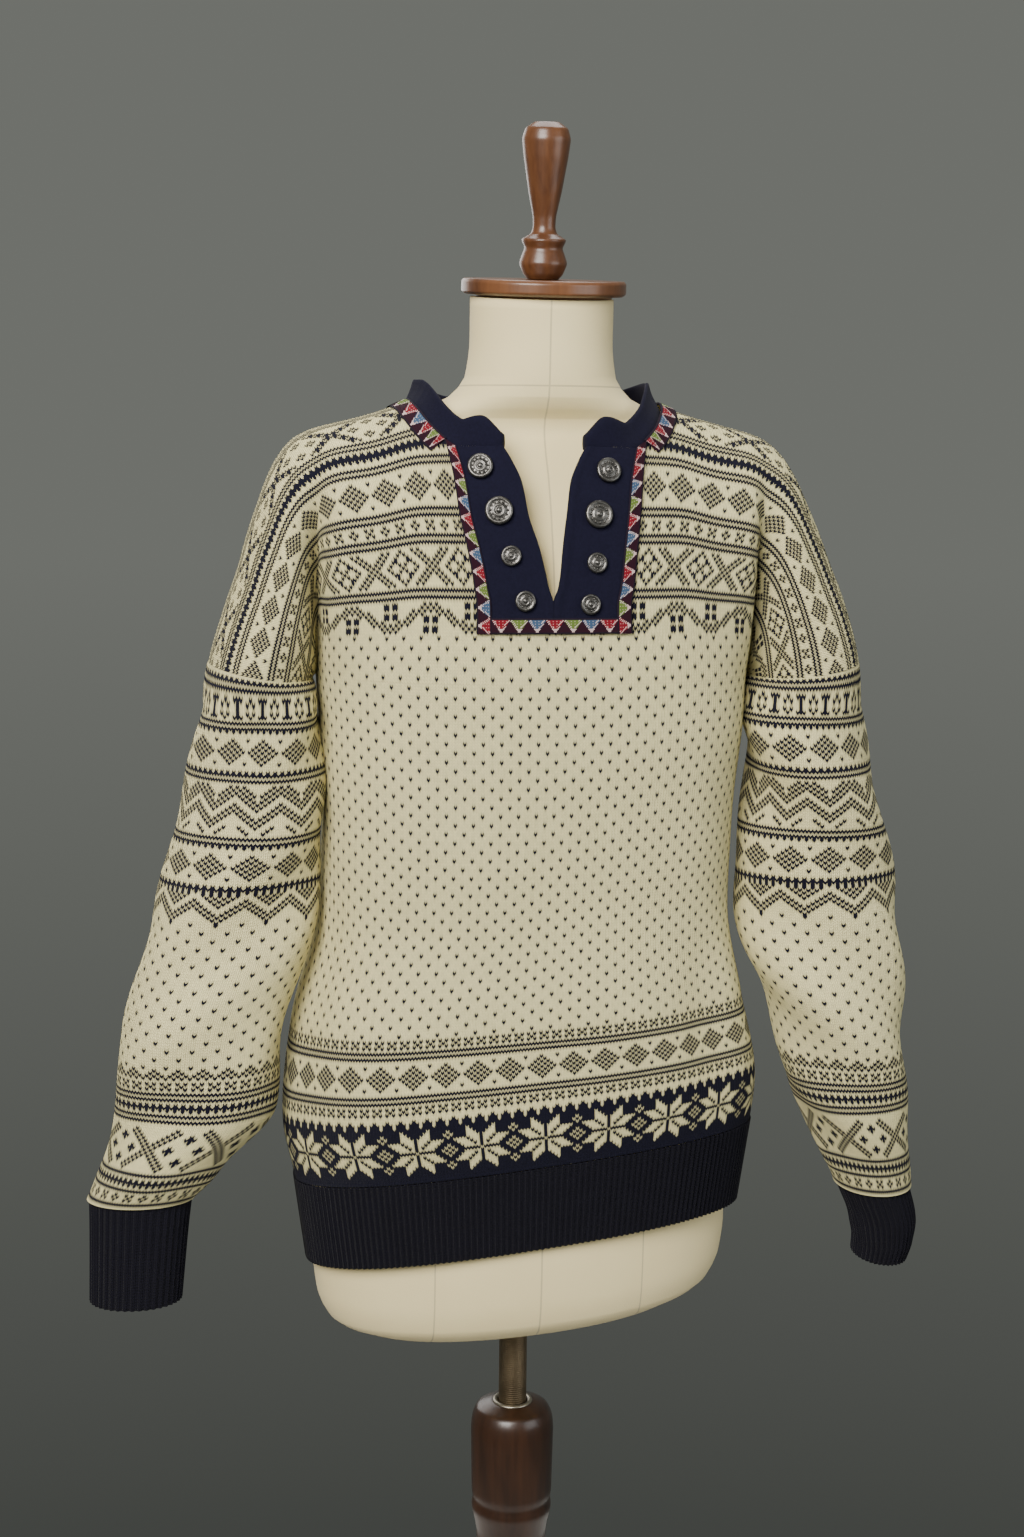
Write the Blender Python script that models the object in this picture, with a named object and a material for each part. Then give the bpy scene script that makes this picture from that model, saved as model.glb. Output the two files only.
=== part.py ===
"""Fair isle pullover worn by a limbless dress form on a turned wooden stand.

Metres, +Z up, the front faces -Y, the floor is z = 0 and the pole's axis is x = y = 0.
Heights in the tables are measured above the bottom of the form.
"""

import math
from collections import namedtuple

import bmesh
import bpy
import numpy as np
from mathutils import Matrix

FORM_BOTTOM = 0.555
TWO_PI = 2.0 * math.pi
SHARP_ANGLE = math.radians(40.0)
TINY = 1e-12

# Wall and seam sizes
WALL = 0.0024
SEAM_GAP = 0.0003
NAVY_WALL = 0.0016
RIBBON_WALL = 0.0012

# Columns of the front and back, in stitches from the centre line
SIDE_SEAM = 100
SLEEVE_SEAM = 130
RIBBON_INNER = 21.0
RIBBON_OUTER = 26.0
NECK_POINT = 38.0
BODY_COLUMNS = (0.0, 10.5, RIBBON_INNER, RIBBON_OUTER, 31.0, 35.0, NECK_POINT, 47.0, 56.0, 65.0, 74.0,
                83.0, 92.0, SIDE_SEAM)
ARM_COLUMNS = (107.0, 115.0, 122.5, SLEEVE_SEAM)

# The body below the armholes: superellipse rings
Ring = namedtuple("Ring", "height half_width front back centre shift")
BODY_RINGS = (
    Ring(0.081, 0.186, 0.103, 0.145, -0.045, 0.0000),
    Ring(0.153, 0.196, 0.109, 0.147, -0.045, -0.0010),
    Ring(0.200, 0.202, 0.116, 0.149, -0.045, -0.0045),
    Ring(0.280, 0.191, 0.115, 0.140, -0.045, -0.0085),
    Ring(0.365, 0.173, 0.111, 0.127, -0.045, -0.0040),
    Ring(0.445, 0.171, 0.115, 0.113, -0.046, -0.0010),
    Ring(0.520, 0.175, 0.119, 0.106, -0.048, 0.0000),
    Ring(0.565, 0.178, 0.118, 0.104, -0.050, 0.0000),
)
BODY_POWER = 2.45
ROW_SAMPLES = 121
HEM_LINE = 0.081
RIB_LINE = 0.153
ARMPIT_LINE = 0.565
BODY_ROWS = 9

# Soft folds of the body: centre in stitches from the centre front, depth outwards
Fold = namedtuple("Fold", "column spread depth low high")
BODY_FOLDS = (
    Fold(58.0, 9.0, -0.0050, 0.15, 0.35),
    Fold(74.0, 10.0, 0.0040, 0.15, 0.38),
    Fold(-78.0, 11.0, -0.0050, 0.15, 0.42),
    Fold(-50.0, 13.0, 0.0035, 0.15, 0.36),
    Fold(20.0, 16.0, 0.0030, 0.17, 0.38),
)
BACK_FOLDS = (
    Fold(62.0, 12.0, -0.0060, 0.15, 0.44),
    Fold(-66.0, 11.0, -0.0055, 0.15, 0.42),
    Fold(8.0, 18.0, 0.0045, 0.15, 0.40),
)
HEM_TILT = 0.110
HEM_PITCH = 0.148
HEM_FADE = (0.12, 0.46)

# The yoke: stations swing round the armpit from upright to the sleeve seam
ARMPIT_X = 0.178
ARMPIT_RADIUS = 0.006
ARM_SWING = math.radians(80.0)
RIDGE_Y = -0.045
ARM_Y = -0.063
NECK_CENTRE_Y = -0.055
NECK_HALF_WIDTH = 0.105
NECK_HEIGHT = 0.782
NECK_CROWN = 0.042

Shoulder = namedtuple("Shoulder", "x height")
SHOULDER_LINE = (
    Shoulder(0.105, 0.782),
    Shoulder(0.130, 0.774),
    Shoulder(0.160, 0.766),
    Shoulder(0.178, 0.762),
)
Swing = namedtuple("Swing", "degrees reach")
LEFT_ARM_REACH = (
    Swing(0.0, 0.203),
    Swing(5.0, 0.197),
    Swing(12.0, 0.174),
    Swing(20.0, 0.144),
    Swing(39.0, 0.105),
    Swing(65.0, 0.090),
    Swing(80.0, 0.089),
)
RIGHT_ARM_REACH = (
    Swing(0.0, 0.203),
    Swing(5.0, 0.198),
    Swing(12.0, 0.178),
    Swing(20.0, 0.152),
    Swing(39.0, 0.116),
    Swing(65.0, 0.0985),
    Swing(80.0, 0.096),
)
Bulge = namedtuple("Bulge", "station front back rise")
YOKE_BULGES = (
    Bulge(0.00, 0.000, 0.000, 0.85),
    Bulge(0.45, 0.002, 0.002, 0.85),
    Bulge(0.80, 0.040, 0.034, 1.10),
    Bulge(1.00, 0.066, 0.060, 1.40),
    Bulge(1.30, 0.073, 0.070, 1.90),
    Bulge(2.00, 0.075, 0.075, 2.00),
)
FRONT_CREASE = 0.026
BACK_CREASE = 0.008
CREASE_STATION = 0.98
CREASE_SPREAD = 0.13
CREASE_SWEEP = math.radians(62.0)
CREASE_POWER = 1.2
# How the yoke's depth closes towards its ridge, at the body and more at the sleeve
DEPTH_POWER = 0.8
DEPTH_POWER_OUT = 1.2
# The share of the way up by which the columns spread from the body's to the sleeve's
COLUMN_SPREAD = 0.5
SEAM_ROOM = 0.004

# The neck slit: half its width, and how far it leans left, against the height
Slit = namedtuple("Slit", "height half_width lean")
NECK_SLIT = (
    Slit(0.565, 0.0000, 0.0000),
    Slit(0.628, 0.0000, 0.0030),
    Slit(0.642, 0.0042, 0.0030),
    Slit(0.672, 0.0095, 0.0047),
    Slit(0.698, 0.0155, 0.0072),
    Slit(0.722, 0.0194, 0.0076),
    Slit(0.738, 0.0262, 0.0080),
    Slit(0.755, 0.0361, 0.0083),
    Slit(0.790, 0.0550, 0.0083),
)
SLIT_REACH = 0.10
LEAN_REACH = 0.15

# The neckline: the share of the way up at which it cuts each column
Neck = namedtuple("Neck", "column share")
FRONT_NECK = (
    Neck(0.0, 0.690),
    Neck(21.0, 0.690),
    Neck(26.0, 0.715),
    Neck(31.0, 0.765),
    Neck(35.0, 0.860),
    Neck(38.0, 1.000),
)
BACK_NECK = (
    Neck(0.0, 0.800),
    Neck(21.0, 0.820),
    Neck(31.0, 0.870),
    Neck(35.0, 0.920),
    Neck(38.0, 1.000),
)
PLACKET_FOOT = 0.151
RIBBON_TOP = 0.196
SLIT_FOOT = 0.238
LOWER_YOKE_ROWS = (0.0, 0.075, PLACKET_FOOT, RIBBON_TOP, SLIT_FOOT)
UPPER_YOKE_ROWS = 6
RIBBON_SHARE = 0.048

# Sleeves: centre line and half sizes at each height
Sleeve = namedtuple("Sleeve", "height x y half_width half_depth")
LEFT_SLEEVE = (
    Sleeve(0.5375, 0.2255, -0.065, 0.0465, 0.0690),
    Sleeve(0.4520, 0.2345, -0.069, 0.0580, 0.0570),
    Sleeve(0.3660, 0.2462, -0.073, 0.0659, 0.0480),
    Sleeve(0.2780, 0.2741, -0.075, 0.0654, 0.0460),
    Sleeve(0.2065, 0.2825, -0.076, 0.0635, 0.0420),
    Sleeve(0.1615, 0.3085, -0.076, 0.0485, 0.0380),
    Sleeve(0.1420, 0.3190, -0.076, 0.0455, 0.0330),
    Sleeve(0.1300, 0.3274, -0.076, 0.0430, 0.0280),
)
RIGHT_SLEEVE = (
    Sleeve(0.5375, 0.2283, -0.065, 0.0473, 0.0690),
    Sleeve(0.4520, 0.2398, -0.069, 0.0578, 0.0580),
    Sleeve(0.3660, 0.2462, -0.073, 0.0678, 0.0450),
    Sleeve(0.2780, 0.2645, -0.075, 0.0595, 0.0500),
    Sleeve(0.2065, 0.2785, -0.076, 0.0495, 0.0500),
    Sleeve(0.1700, 0.2893, -0.076, 0.0403, 0.0480),
    Sleeve(0.1420, 0.2985, -0.076, 0.0350, 0.0430),
    Sleeve(0.1150, 0.3050, -0.076, 0.0320, 0.0400),
)
Cuff = namedtuple("Cuff", "height x y half_width half_depth")
LEFT_CUFF = (
    Cuff(0.130, 0.3274, -0.076, 0.0400, 0.0250),
    Cuff(0.105, 0.3290, -0.076, 0.0385, 0.0255),
    Cuff(0.042, 0.3327, -0.076, 0.0360, 0.0265),
)
RIGHT_CUFF = (
    Cuff(0.115, 0.3050, -0.076, 0.0290, 0.0370),
    Cuff(0.080, 0.3155, -0.076, 0.0258, 0.0360),
    Cuff(0.065, 0.3160, -0.076, 0.0232, 0.0340),
    Cuff(0.049, 0.3135, -0.076, 0.0210, 0.0310),
)
SLEEVE_SIDES = 22
SLEEVE_STEPS = (0.0, 0.09, 0.18, 0.27, 0.36, 0.45, 0.54, 0.63, 0.72, 0.80, 0.88, 0.95, 1.0)
CUFF_RINGS = 4
CUFF_RIBS = 22
RIB_DEPTH = 0.0011
RIBS_PER_COLUMN = 2
HEM_SHARES = (0.0, 0.35, 1.0)

# Standing collar: height and lean against the turn from the front end (0) to the back (1)
Collar = namedtuple("Collar", "share rise lean")
COLLAR_LINE = (
    Collar(0.00, 0.009, 0.000),
    Collar(0.07, 0.024, 0.004),
    Collar(0.18, 0.018, 0.011),
    Collar(0.33, 0.016, 0.012),
    Collar(0.50, 0.018, 0.008),
    Collar(0.75, 0.018, 0.004),
    Collar(1.00, 0.018, 0.002),
)
COLLAR_STEPS = 3

# Pewter buttons on the plackets
Button = namedtuple("Button", "name x height radius")
BUTTONS = (
    Button("button_left_1", -0.0575, 0.734, 0.0100),
    Button("button_left_2", -0.0446, 0.700, 0.0110),
    Button("button_left_3", -0.0365, 0.666, 0.0080),
    Button("button_left_4", -0.0260, 0.631, 0.0080),
    Button("button_right_1", 0.0413, 0.730, 0.0100),
    Button("button_right_2", 0.0325, 0.697, 0.0110),
    Button("button_right_3", 0.0308, 0.661, 0.0080),
    Button("button_right_4", 0.0250, 0.628, 0.0080),
)
BUTTON_EDGE = 0.0016
BUTTON_DOME = 0.0018
BUTTON_SIDES = 12
BUTTON_SHANK = 0.0026
BUTTON_SHANK_SHARE = 0.30
BUTTON_STEP_SHARE = 0.86
BUTTON_TOP_SHARE = 0.45
BUTTON_SEARCH = (0.15, 0.72)
SEARCH_ROWS = 115
SEARCH_COLUMNS = 53

# Dress form, cap, finial, pole, column and base
FORM_RINGS = (
    Ring(0.000, 0.108, 0.050, 0.078, -0.045, -0.004),
    Ring(0.008, 0.142, 0.073, 0.102, -0.045, -0.003),
    Ring(0.022, 0.167, 0.088, 0.122, -0.045, -0.003),
    Ring(0.045, 0.177, 0.094, 0.133, -0.045, -0.003),
    Ring(0.075, 0.180, 0.096, 0.137, -0.045, -0.003),
    Ring(0.130, 0.180, 0.097, 0.137, -0.045, -0.003),
    Ring(0.220, 0.168, 0.089, 0.123, -0.045, -0.003),
    Ring(0.330, 0.142, 0.081, 0.105, -0.045, -0.002),
    Ring(0.450, 0.155, 0.101, 0.097, -0.045, 0.000),
    Ring(0.540, 0.165, 0.110, 0.096, -0.048, 0.000),
    Ring(0.620, 0.170, 0.105, 0.094, -0.052, 0.000),
    Ring(0.690, 0.172, 0.084, 0.084, -0.054, 0.000),
    Ring(0.725, 0.171, 0.068, 0.074, -0.053, 0.000),
    Ring(0.7457, 0.166, 0.056, 0.062, -0.050, 0.000),
    Ring(0.7602, 0.152, 0.049, 0.052, -0.050, 0.000),
    Ring(0.7706, 0.124, 0.048, 0.049, -0.053, 0.000),
    Ring(0.7776, 0.098, 0.051, 0.049, -0.058, 0.001),
    Ring(0.7885, 0.074, 0.056, 0.050, -0.062, 0.002),
    Ring(0.805, 0.061, 0.057, 0.053, -0.064, 0.002),
    Ring(0.835, 0.0575, 0.056, 0.055, -0.066, 0.002),
    Ring(0.8675, 0.0575, 0.057, 0.056, -0.067, 0.002),
)
FORM_POWER = 2.15
FORM_SIDES = 28
FORM_LEVELS = (0.0, 0.008, 0.022, 0.045, 0.075, 0.13, 0.18, 0.24, 0.33, 0.40, 0.47, 0.54, 0.60, 0.65,
               0.69, 0.725, 0.7457, 0.7602, 0.7706, 0.7776, 0.7885, 0.805, 0.835, 0.8675)
FORM_TILT = 0.075
FORM_TILT_FADE = 0.25
NECK_TILT = math.radians(5.0)
NECK_TILT_FROM = 0.800
CAP_X = 0.0035
FINIAL_X = 0.0025
CAP_CENTRE_Y = -0.0665
LATHE_SIDES = 24
FINIAL_SIDES = 18
BASE_SIDES = 36

Turn = namedtuple("Turn", "height radius")
CAP_PROFILE = (
    Turn(0.0000, 0.0550),
    Turn(0.0015, 0.0550),
    Turn(0.0020, 0.0635),
    Turn(0.0040, 0.0663),
    Turn(0.0120, 0.0663),
    Turn(0.0140, 0.0645),
)
FINIAL_PROFILE = (
    Turn(0.0000, 0.0125),
    Turn(0.0040, 0.0160),
    Turn(0.0125, 0.0195),
    Turn(0.0210, 0.0165),
    Turn(0.0243, 0.0150),
    Turn(0.0310, 0.0183),
    Turn(0.0355, 0.0105),
    Turn(0.0405, 0.0089),
    Turn(0.0490, 0.0093),
    Turn(0.0675, 0.0132),
    Turn(0.0945, 0.0177),
    Turn(0.1085, 0.0194),
    Turn(0.1165, 0.0170),
    Turn(0.1212, 0.0100),
)
POLE_RADIUS = 0.0125
POLE_FOOT = 0.200
POLE_PROFILE = (
    Turn(0.0000, POLE_RADIUS),
    Turn(FORM_BOTTOM - POLE_FOOT - SEAM_GAP, POLE_RADIUS),
)
BORE_RADIUS = 0.0131
BORE_FLOOR = 0.092
BASE_THICK = 0.030
COLUMN_PROFILE = (
    Turn(0.0000, 0.0480),
    Turn(0.0120, 0.0500),
    Turn(0.0260, 0.0460),
    Turn(0.0450, 0.0350),
    Turn(0.1500, 0.0310),
    Turn(0.2950, 0.0315),
    Turn(0.3080, 0.0340),
    Turn(0.3170, 0.0362),
    Turn(0.3230, 0.0362),
    Turn(0.3270, 0.0345),
    Turn(0.3310, 0.0362),
    Turn(0.3950, 0.0374),
    Turn(0.4060, 0.0362),
    Turn(0.4140, 0.0325),
    Turn(0.4190, 0.0185),
)
BASE_PROFILE = (
    Turn(0.0000, 0.1780),
    Turn(0.0060, 0.1850),
    Turn(0.0160, 0.1850),
    Turn(0.0240, 0.1740),
    Turn(0.0300, 0.1500),
)

Y_AXIS = np.array((0.0, 1.0, 0.0))
Z_AXIS = np.array((0.0, 0.0, 1.0))


def table_curve(table, field, position):
    """A smooth curve through one column of a table, against the table's first column."""
    stops = np.array([row[0] for row in table], dtype=float)
    values = np.array([getattr(row, field) for row in table], dtype=float)
    x = np.clip(np.asarray(position, dtype=float), stops[0], stops[-1])
    secants = np.diff(values) / np.diff(stops)
    slopes = np.empty_like(values)
    slopes[1:-1] = np.where(secants[:-1] * secants[1:] > 0.0,
                            2.0 * secants[:-1] * secants[1:] / (secants[:-1] + secants[1:] + TINY), 0.0)
    slopes[0] = secants[0]
    slopes[-1] = secants[-1]
    i = np.clip(np.searchsorted(stops, x) - 1, 0, len(stops) - 2)
    step = stops[i + 1] - stops[i]
    f = (x - stops[i]) / step
    a = values[i] * (1 + 2 * f) * (1 - f) ** 2 + step * slopes[i] * f * (1 - f) ** 2
    b = values[i + 1] * f * f * (3 - 2 * f) - step * slopes[i + 1] * f * f * (1 - f)
    return a + b


def ease(value):
    """A smooth step from 0 to 1."""
    f = np.clip(value, 0.0, 1.0)
    return f * f * (3.0 - 2.0 * f)


def signed_power(value, power):
    return np.sign(value) * np.abs(value) ** power


def table_ring(table, height):
    """The row of a ring table at any height."""
    return Ring(height, *[float(table_curve(table, field, height)) for field in Ring._fields[1:]])


def oval(ring, angle, power):
    """A point of a superellipse, angle 0 at the centre front and a quarter turn at +X."""
    depth = np.where(np.cos(angle) > 0.0, ring.front, ring.back)
    x = ring.half_width * signed_power(np.sin(angle), 2.0 / power)
    y = ring.centre - depth * signed_power(np.cos(angle), 2.0 / power)
    return x, y


def along(points, distances):
    """Points at given distances along a polyline."""
    steps = np.linalg.norm(np.diff(points, axis=0), axis=1)
    travel = np.concatenate(((0.0,), np.cumsum(steps)))
    return np.stack([np.interp(distances, travel, points[:, k]) for k in range(3)], axis=-1), travel[-1]


def lean_left(point):
    """The neck slit leans a little to the wearer's right, on the left of the photo."""
    p = np.array(point, dtype=float)
    lean = float(table_curve(NECK_SLIT, "lean", p[2] - FORM_BOTTOM))
    p[0] -= lean * (1.0 - float(ease(abs(p[0]) / LEAN_REACH)))
    return p


def settle(point):
    """The hem hangs lower on the left and at the back."""
    p = np.array(point, dtype=float)
    height = p[2] - FORM_BOTTOM
    fade = 1.0 - float(ease((height - HEM_FADE[0]) / (HEM_FADE[1] - HEM_FADE[0])))
    p[2] += fade * (HEM_TILT * p[0] - HEM_PITCH * (p[1] - BODY_RINGS[0].centre))
    return p


def fold_offset(folds, column, height):
    """How far the body's soft folds push the wall outwards."""
    total = 0.0
    for fold in folds:
        across = math.exp(-((column - fold.column) / fold.spread) ** 2)
        share = (height - fold.low) / (fold.high - fold.low)
        total += fold.depth * across * math.sin(math.pi * min(1.0, max(0.0, share)))
    return total


def body_row(height, front, columns):
    """The half row of the body at a height, from the centre line to the +X side seam."""
    angle = np.linspace(0.0, math.pi / 2.0, ROW_SAMPLES)
    if not front:
        angle = math.pi - angle
    x, y = oval(table_ring(BODY_RINGS, height), angle, BODY_POWER)
    line = np.stack((x, y, np.full_like(x, FORM_BOTTOM + height)), axis=-1)
    length = along(line, [0.0])[1]
    return along(line, np.array(columns) / SIDE_SEAM * length)[0]


class Yoke:
    """The wall above the armholes, as rows and columns of stitches on its +X half."""

    STATIONS = 141
    STEPS = 121

    def __init__(self, front, side):
        self.front = front
        self.reach = LEFT_ARM_REACH if side < 0 else RIGHT_ARM_REACH
        self.station = np.linspace(0.0, 2.0, self.STATIONS)
        beta = np.linspace(0.0, math.pi / 2.0, self.STEPS)
        lines = [self.station_line(g, beta) for g in self.station]
        self.lines = []
        self.lengths = []
        for line in lines:
            fine, length = along(line, np.linspace(0.0, 1.0, self.STEPS) * along(line, [0.0])[1])
            self.lines.append(fine)
            self.lengths.append(length)
        self.lengths = np.array(self.lengths)
        self.row_length = self.lengths.copy()
        neck = np.searchsorted(self.station, self.neck_station())
        self.row_length[:neck] = self.lengths[neck]
        self.quarter = along(body_row(ARMPIT_LINE, front, np.linspace(0, SIDE_SEAM, ROW_SAMPLES)), [0.0])[1]

    def neck_station(self):
        share = (NECK_HALF_WIDTH / ARMPIT_X) ** (BODY_POWER / 2.0)
        return math.asin(share) / (math.pi / 2.0)

    def station_line(self, g, beta):
        rise = float(table_curve(YOKE_BULGES, "rise", g))
        bulge = float(table_curve(YOKE_BULGES, "front" if self.front else "back", g))
        sign = 1.0 if self.front else -1.0
        ring = table_ring(BODY_RINGS, ARMPIT_LINE)
        if g <= 1.0:
            angle = g * math.pi / 2.0
            x, y_start = oval(ring, angle if self.front else math.pi - angle, BODY_POWER)
            if x < NECK_HALF_WIDTH:
                top = NECK_HEIGHT + NECK_CROWN * (1.0 - (x / NECK_HALF_WIDTH) ** 2)
            else:
                top = float(table_curve(SHOULDER_LINE, "height", x))
            swing = 0.0
            reach = top - ARMPIT_LINE + ARMPIT_RADIUS
            origin_x = x
        else:
            swing = (g - 1.0) * ARM_SWING
            reach = float(table_curve(self.reach, "reach", math.degrees(swing)))
            y_start = ring.centre
            origin_x = ARMPIT_X
        outwards = float(ease(g - 1.0))
        y_top = RIDGE_Y + (ARM_Y - RIDGE_Y) * outwards
        drop = DEPTH_POWER + DEPTH_POWER_OUT * outwards
        r = ARMPIT_RADIUS + (reach - ARMPIT_RADIUS) * np.sin(beta) ** rise
        y = y_top + (y_start - y_top) * np.cos(beta) ** drop - sign * bulge * np.sin(2.0 * beta)
        crease = FRONT_CREASE if self.front else BACK_CREASE
        crease = crease * math.exp(-((g - CREASE_STATION) / CREASE_SPREAD) ** 2)
        crease = crease * np.sin(np.clip(beta / CREASE_SWEEP, 0.0, 1.0) * math.pi) ** CREASE_POWER
        y = y + sign * crease
        x = origin_x + r * math.sin(swing)
        z = FORM_BOTTOM + ARMPIT_LINE - ARMPIT_RADIUS + r * math.cos(swing)
        return np.stack((x * np.ones_like(r), y, z), axis=-1)

    def row(self, t):
        """The row at share t of the way up, as a polyline over the stations."""
        points = []
        for line, length, full in zip(self.lines, self.lengths, self.row_length):
            share = min(1.0, t * full / length) * (self.STEPS - 1)
            i = min(int(share), self.STEPS - 2)
            f = share - i
            points.append(line[i] * (1.0 - f) + line[i + 1] * f)
        return np.array(points)

    def row_points(self, t, columns):
        """Points of one row at columns counted in stitches."""
        line = self.row(t)
        length = along(line, [0.0])[1]
        grown = float(ease(t / COLUMN_SPREAD))
        inner = self.quarter * (1.0 - grown) + length * SIDE_SEAM / SLEEVE_SEAM * grown
        inner = min(inner, length - SEAM_ROOM)
        s = np.array(columns, dtype=float)
        travel = np.where(s <= SIDE_SEAM, s / SIDE_SEAM * inner,
                          inner + (length - inner) * (s - SIDE_SEAM) / (SLEEVE_SEAM - SIDE_SEAM))
        if self.front:
            opening = float(table_curve(NECK_SLIT, "half_width", line[0][2] - FORM_BOTTOM))
            travel = travel + opening * (1.0 - ease(travel / SLIT_REACH))
        return along(line, travel)[0]


def row_shares(top):
    """The shares of a column's rows, with the ribbon's rows fixed and the last at its top."""
    upper = [SLIT_FOOT + (top - RIBBON_SHARE - SLIT_FOOT) * k / (UPPER_YOKE_ROWS - 1)
             for k in range(1, UPPER_YOKE_ROWS)]
    return list(LOWER_YOKE_ROWS) + upper + [top]


def new_material(name, colour, roughness, metallic=0.0):
    material = bpy.data.materials.new(name)
    material.use_nodes = True
    shader = material.node_tree.nodes["Principled BSDF"]
    shader.inputs["Base Color"].default_value = (*colour, 1.0)
    shader.inputs["Roughness"].default_value = roughness
    shader.inputs["Metallic"].default_value = metallic
    return material


def add_object(name, vertices, faces, material, smooth=True):
    mesh = bpy.data.meshes.new(name)
    mesh.from_pydata([tuple(v) for v in vertices], [], faces)
    bm = bmesh.new()
    bm.from_mesh(mesh)
    bmesh.ops.recalc_face_normals(bm, faces=bm.faces)
    bmesh.ops.triangulate(bm, faces=bm.faces)
    if bm.calc_volume(signed=True) < 0.0:
        bmesh.ops.reverse_faces(bm, faces=bm.faces)
    bm.to_mesh(mesh)
    bm.free()
    if smooth:
        mesh.shade_smooth()
        mesh.set_sharp_from_angle(angle=SHARP_ANGLE)
    mesh.materials.append(material)
    obj = bpy.data.objects.new(name, mesh)
    bpy.context.scene.collection.objects.link(obj)
    return obj


def mesh_normals(points, quads):
    """Area-weighted normals of a sheet of quads."""
    normals = {key: np.zeros(3) for key in points}
    for quad in quads:
        a, b, c, d = (points[key] for key in quad)
        face = np.cross(c - a, d - b)
        for key in quad:
            normals[key] += face
    return {key: n / (np.linalg.norm(n) + TINY) for key, n in normals.items()}


def flatten_normals(normals, rules):
    """Takes a direction out of the normals at an open edge, so that its end wall is square."""
    for key, direction in rules:
        n = normals[key] - direction * np.dot(normals[key], direction)
        normals[key] = n / (np.linalg.norm(n) + TINY)
    return normals


def thicken(name, points, quads, normals, inside, outside, material):
    """A closed wall from a sheet: offsets in metres along the normals, per point."""
    keys = list(points)
    place = {key: k for k, key in enumerate(keys)}
    count = len(keys)
    outer = [points[key] + normals[key] * outside(key) for key in keys]
    inner = [points[key] + normals[key] * inside(key) for key in keys]
    faces = []
    edges = {}
    for quad in quads:
        index = [place[key] for key in quad]
        faces.append(tuple(index))
        faces.append(tuple(count + i for i in reversed(index)))
        for a, b in zip(index, index[1:] + index[:1]):
            edges[(a, b)] = edges.get((a, b), 0) + 1
    for a, b in edges:
        if (b, a) not in edges:
            faces.append((b, a, count + a, count + b))
    return add_object(name, outer + inner, faces, material)


def lathe(name, profile, material, foot, bore=None, sides=LATHE_SIDES):
    """A turned piece about the vertical axis, with an optional blind bore (radius, floor)."""
    rings = [(turn.radius, foot + turn.height) for turn in profile]
    if bore:
        rings += [(bore[0], rings[-1][1]), (bore[0], bore[1])]
    vertices = []
    faces = []
    for radius, height in rings:
        for k in range(sides):
            angle = TWO_PI * k / sides
            vertices.append((radius * math.cos(angle), radius * math.sin(angle), height))
    for r in range(len(rings) - 1):
        for k in range(sides):
            n = (k + 1) % sides
            faces.append((r * sides + k, r * sides + n, (r + 1) * sides + n, (r + 1) * sides + k))
    faces.append(tuple(reversed(range(sides))))
    faces.append(tuple((len(rings) - 1) * sides + k for k in range(sides)))
    return add_object(name, vertices, faces, material)


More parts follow.
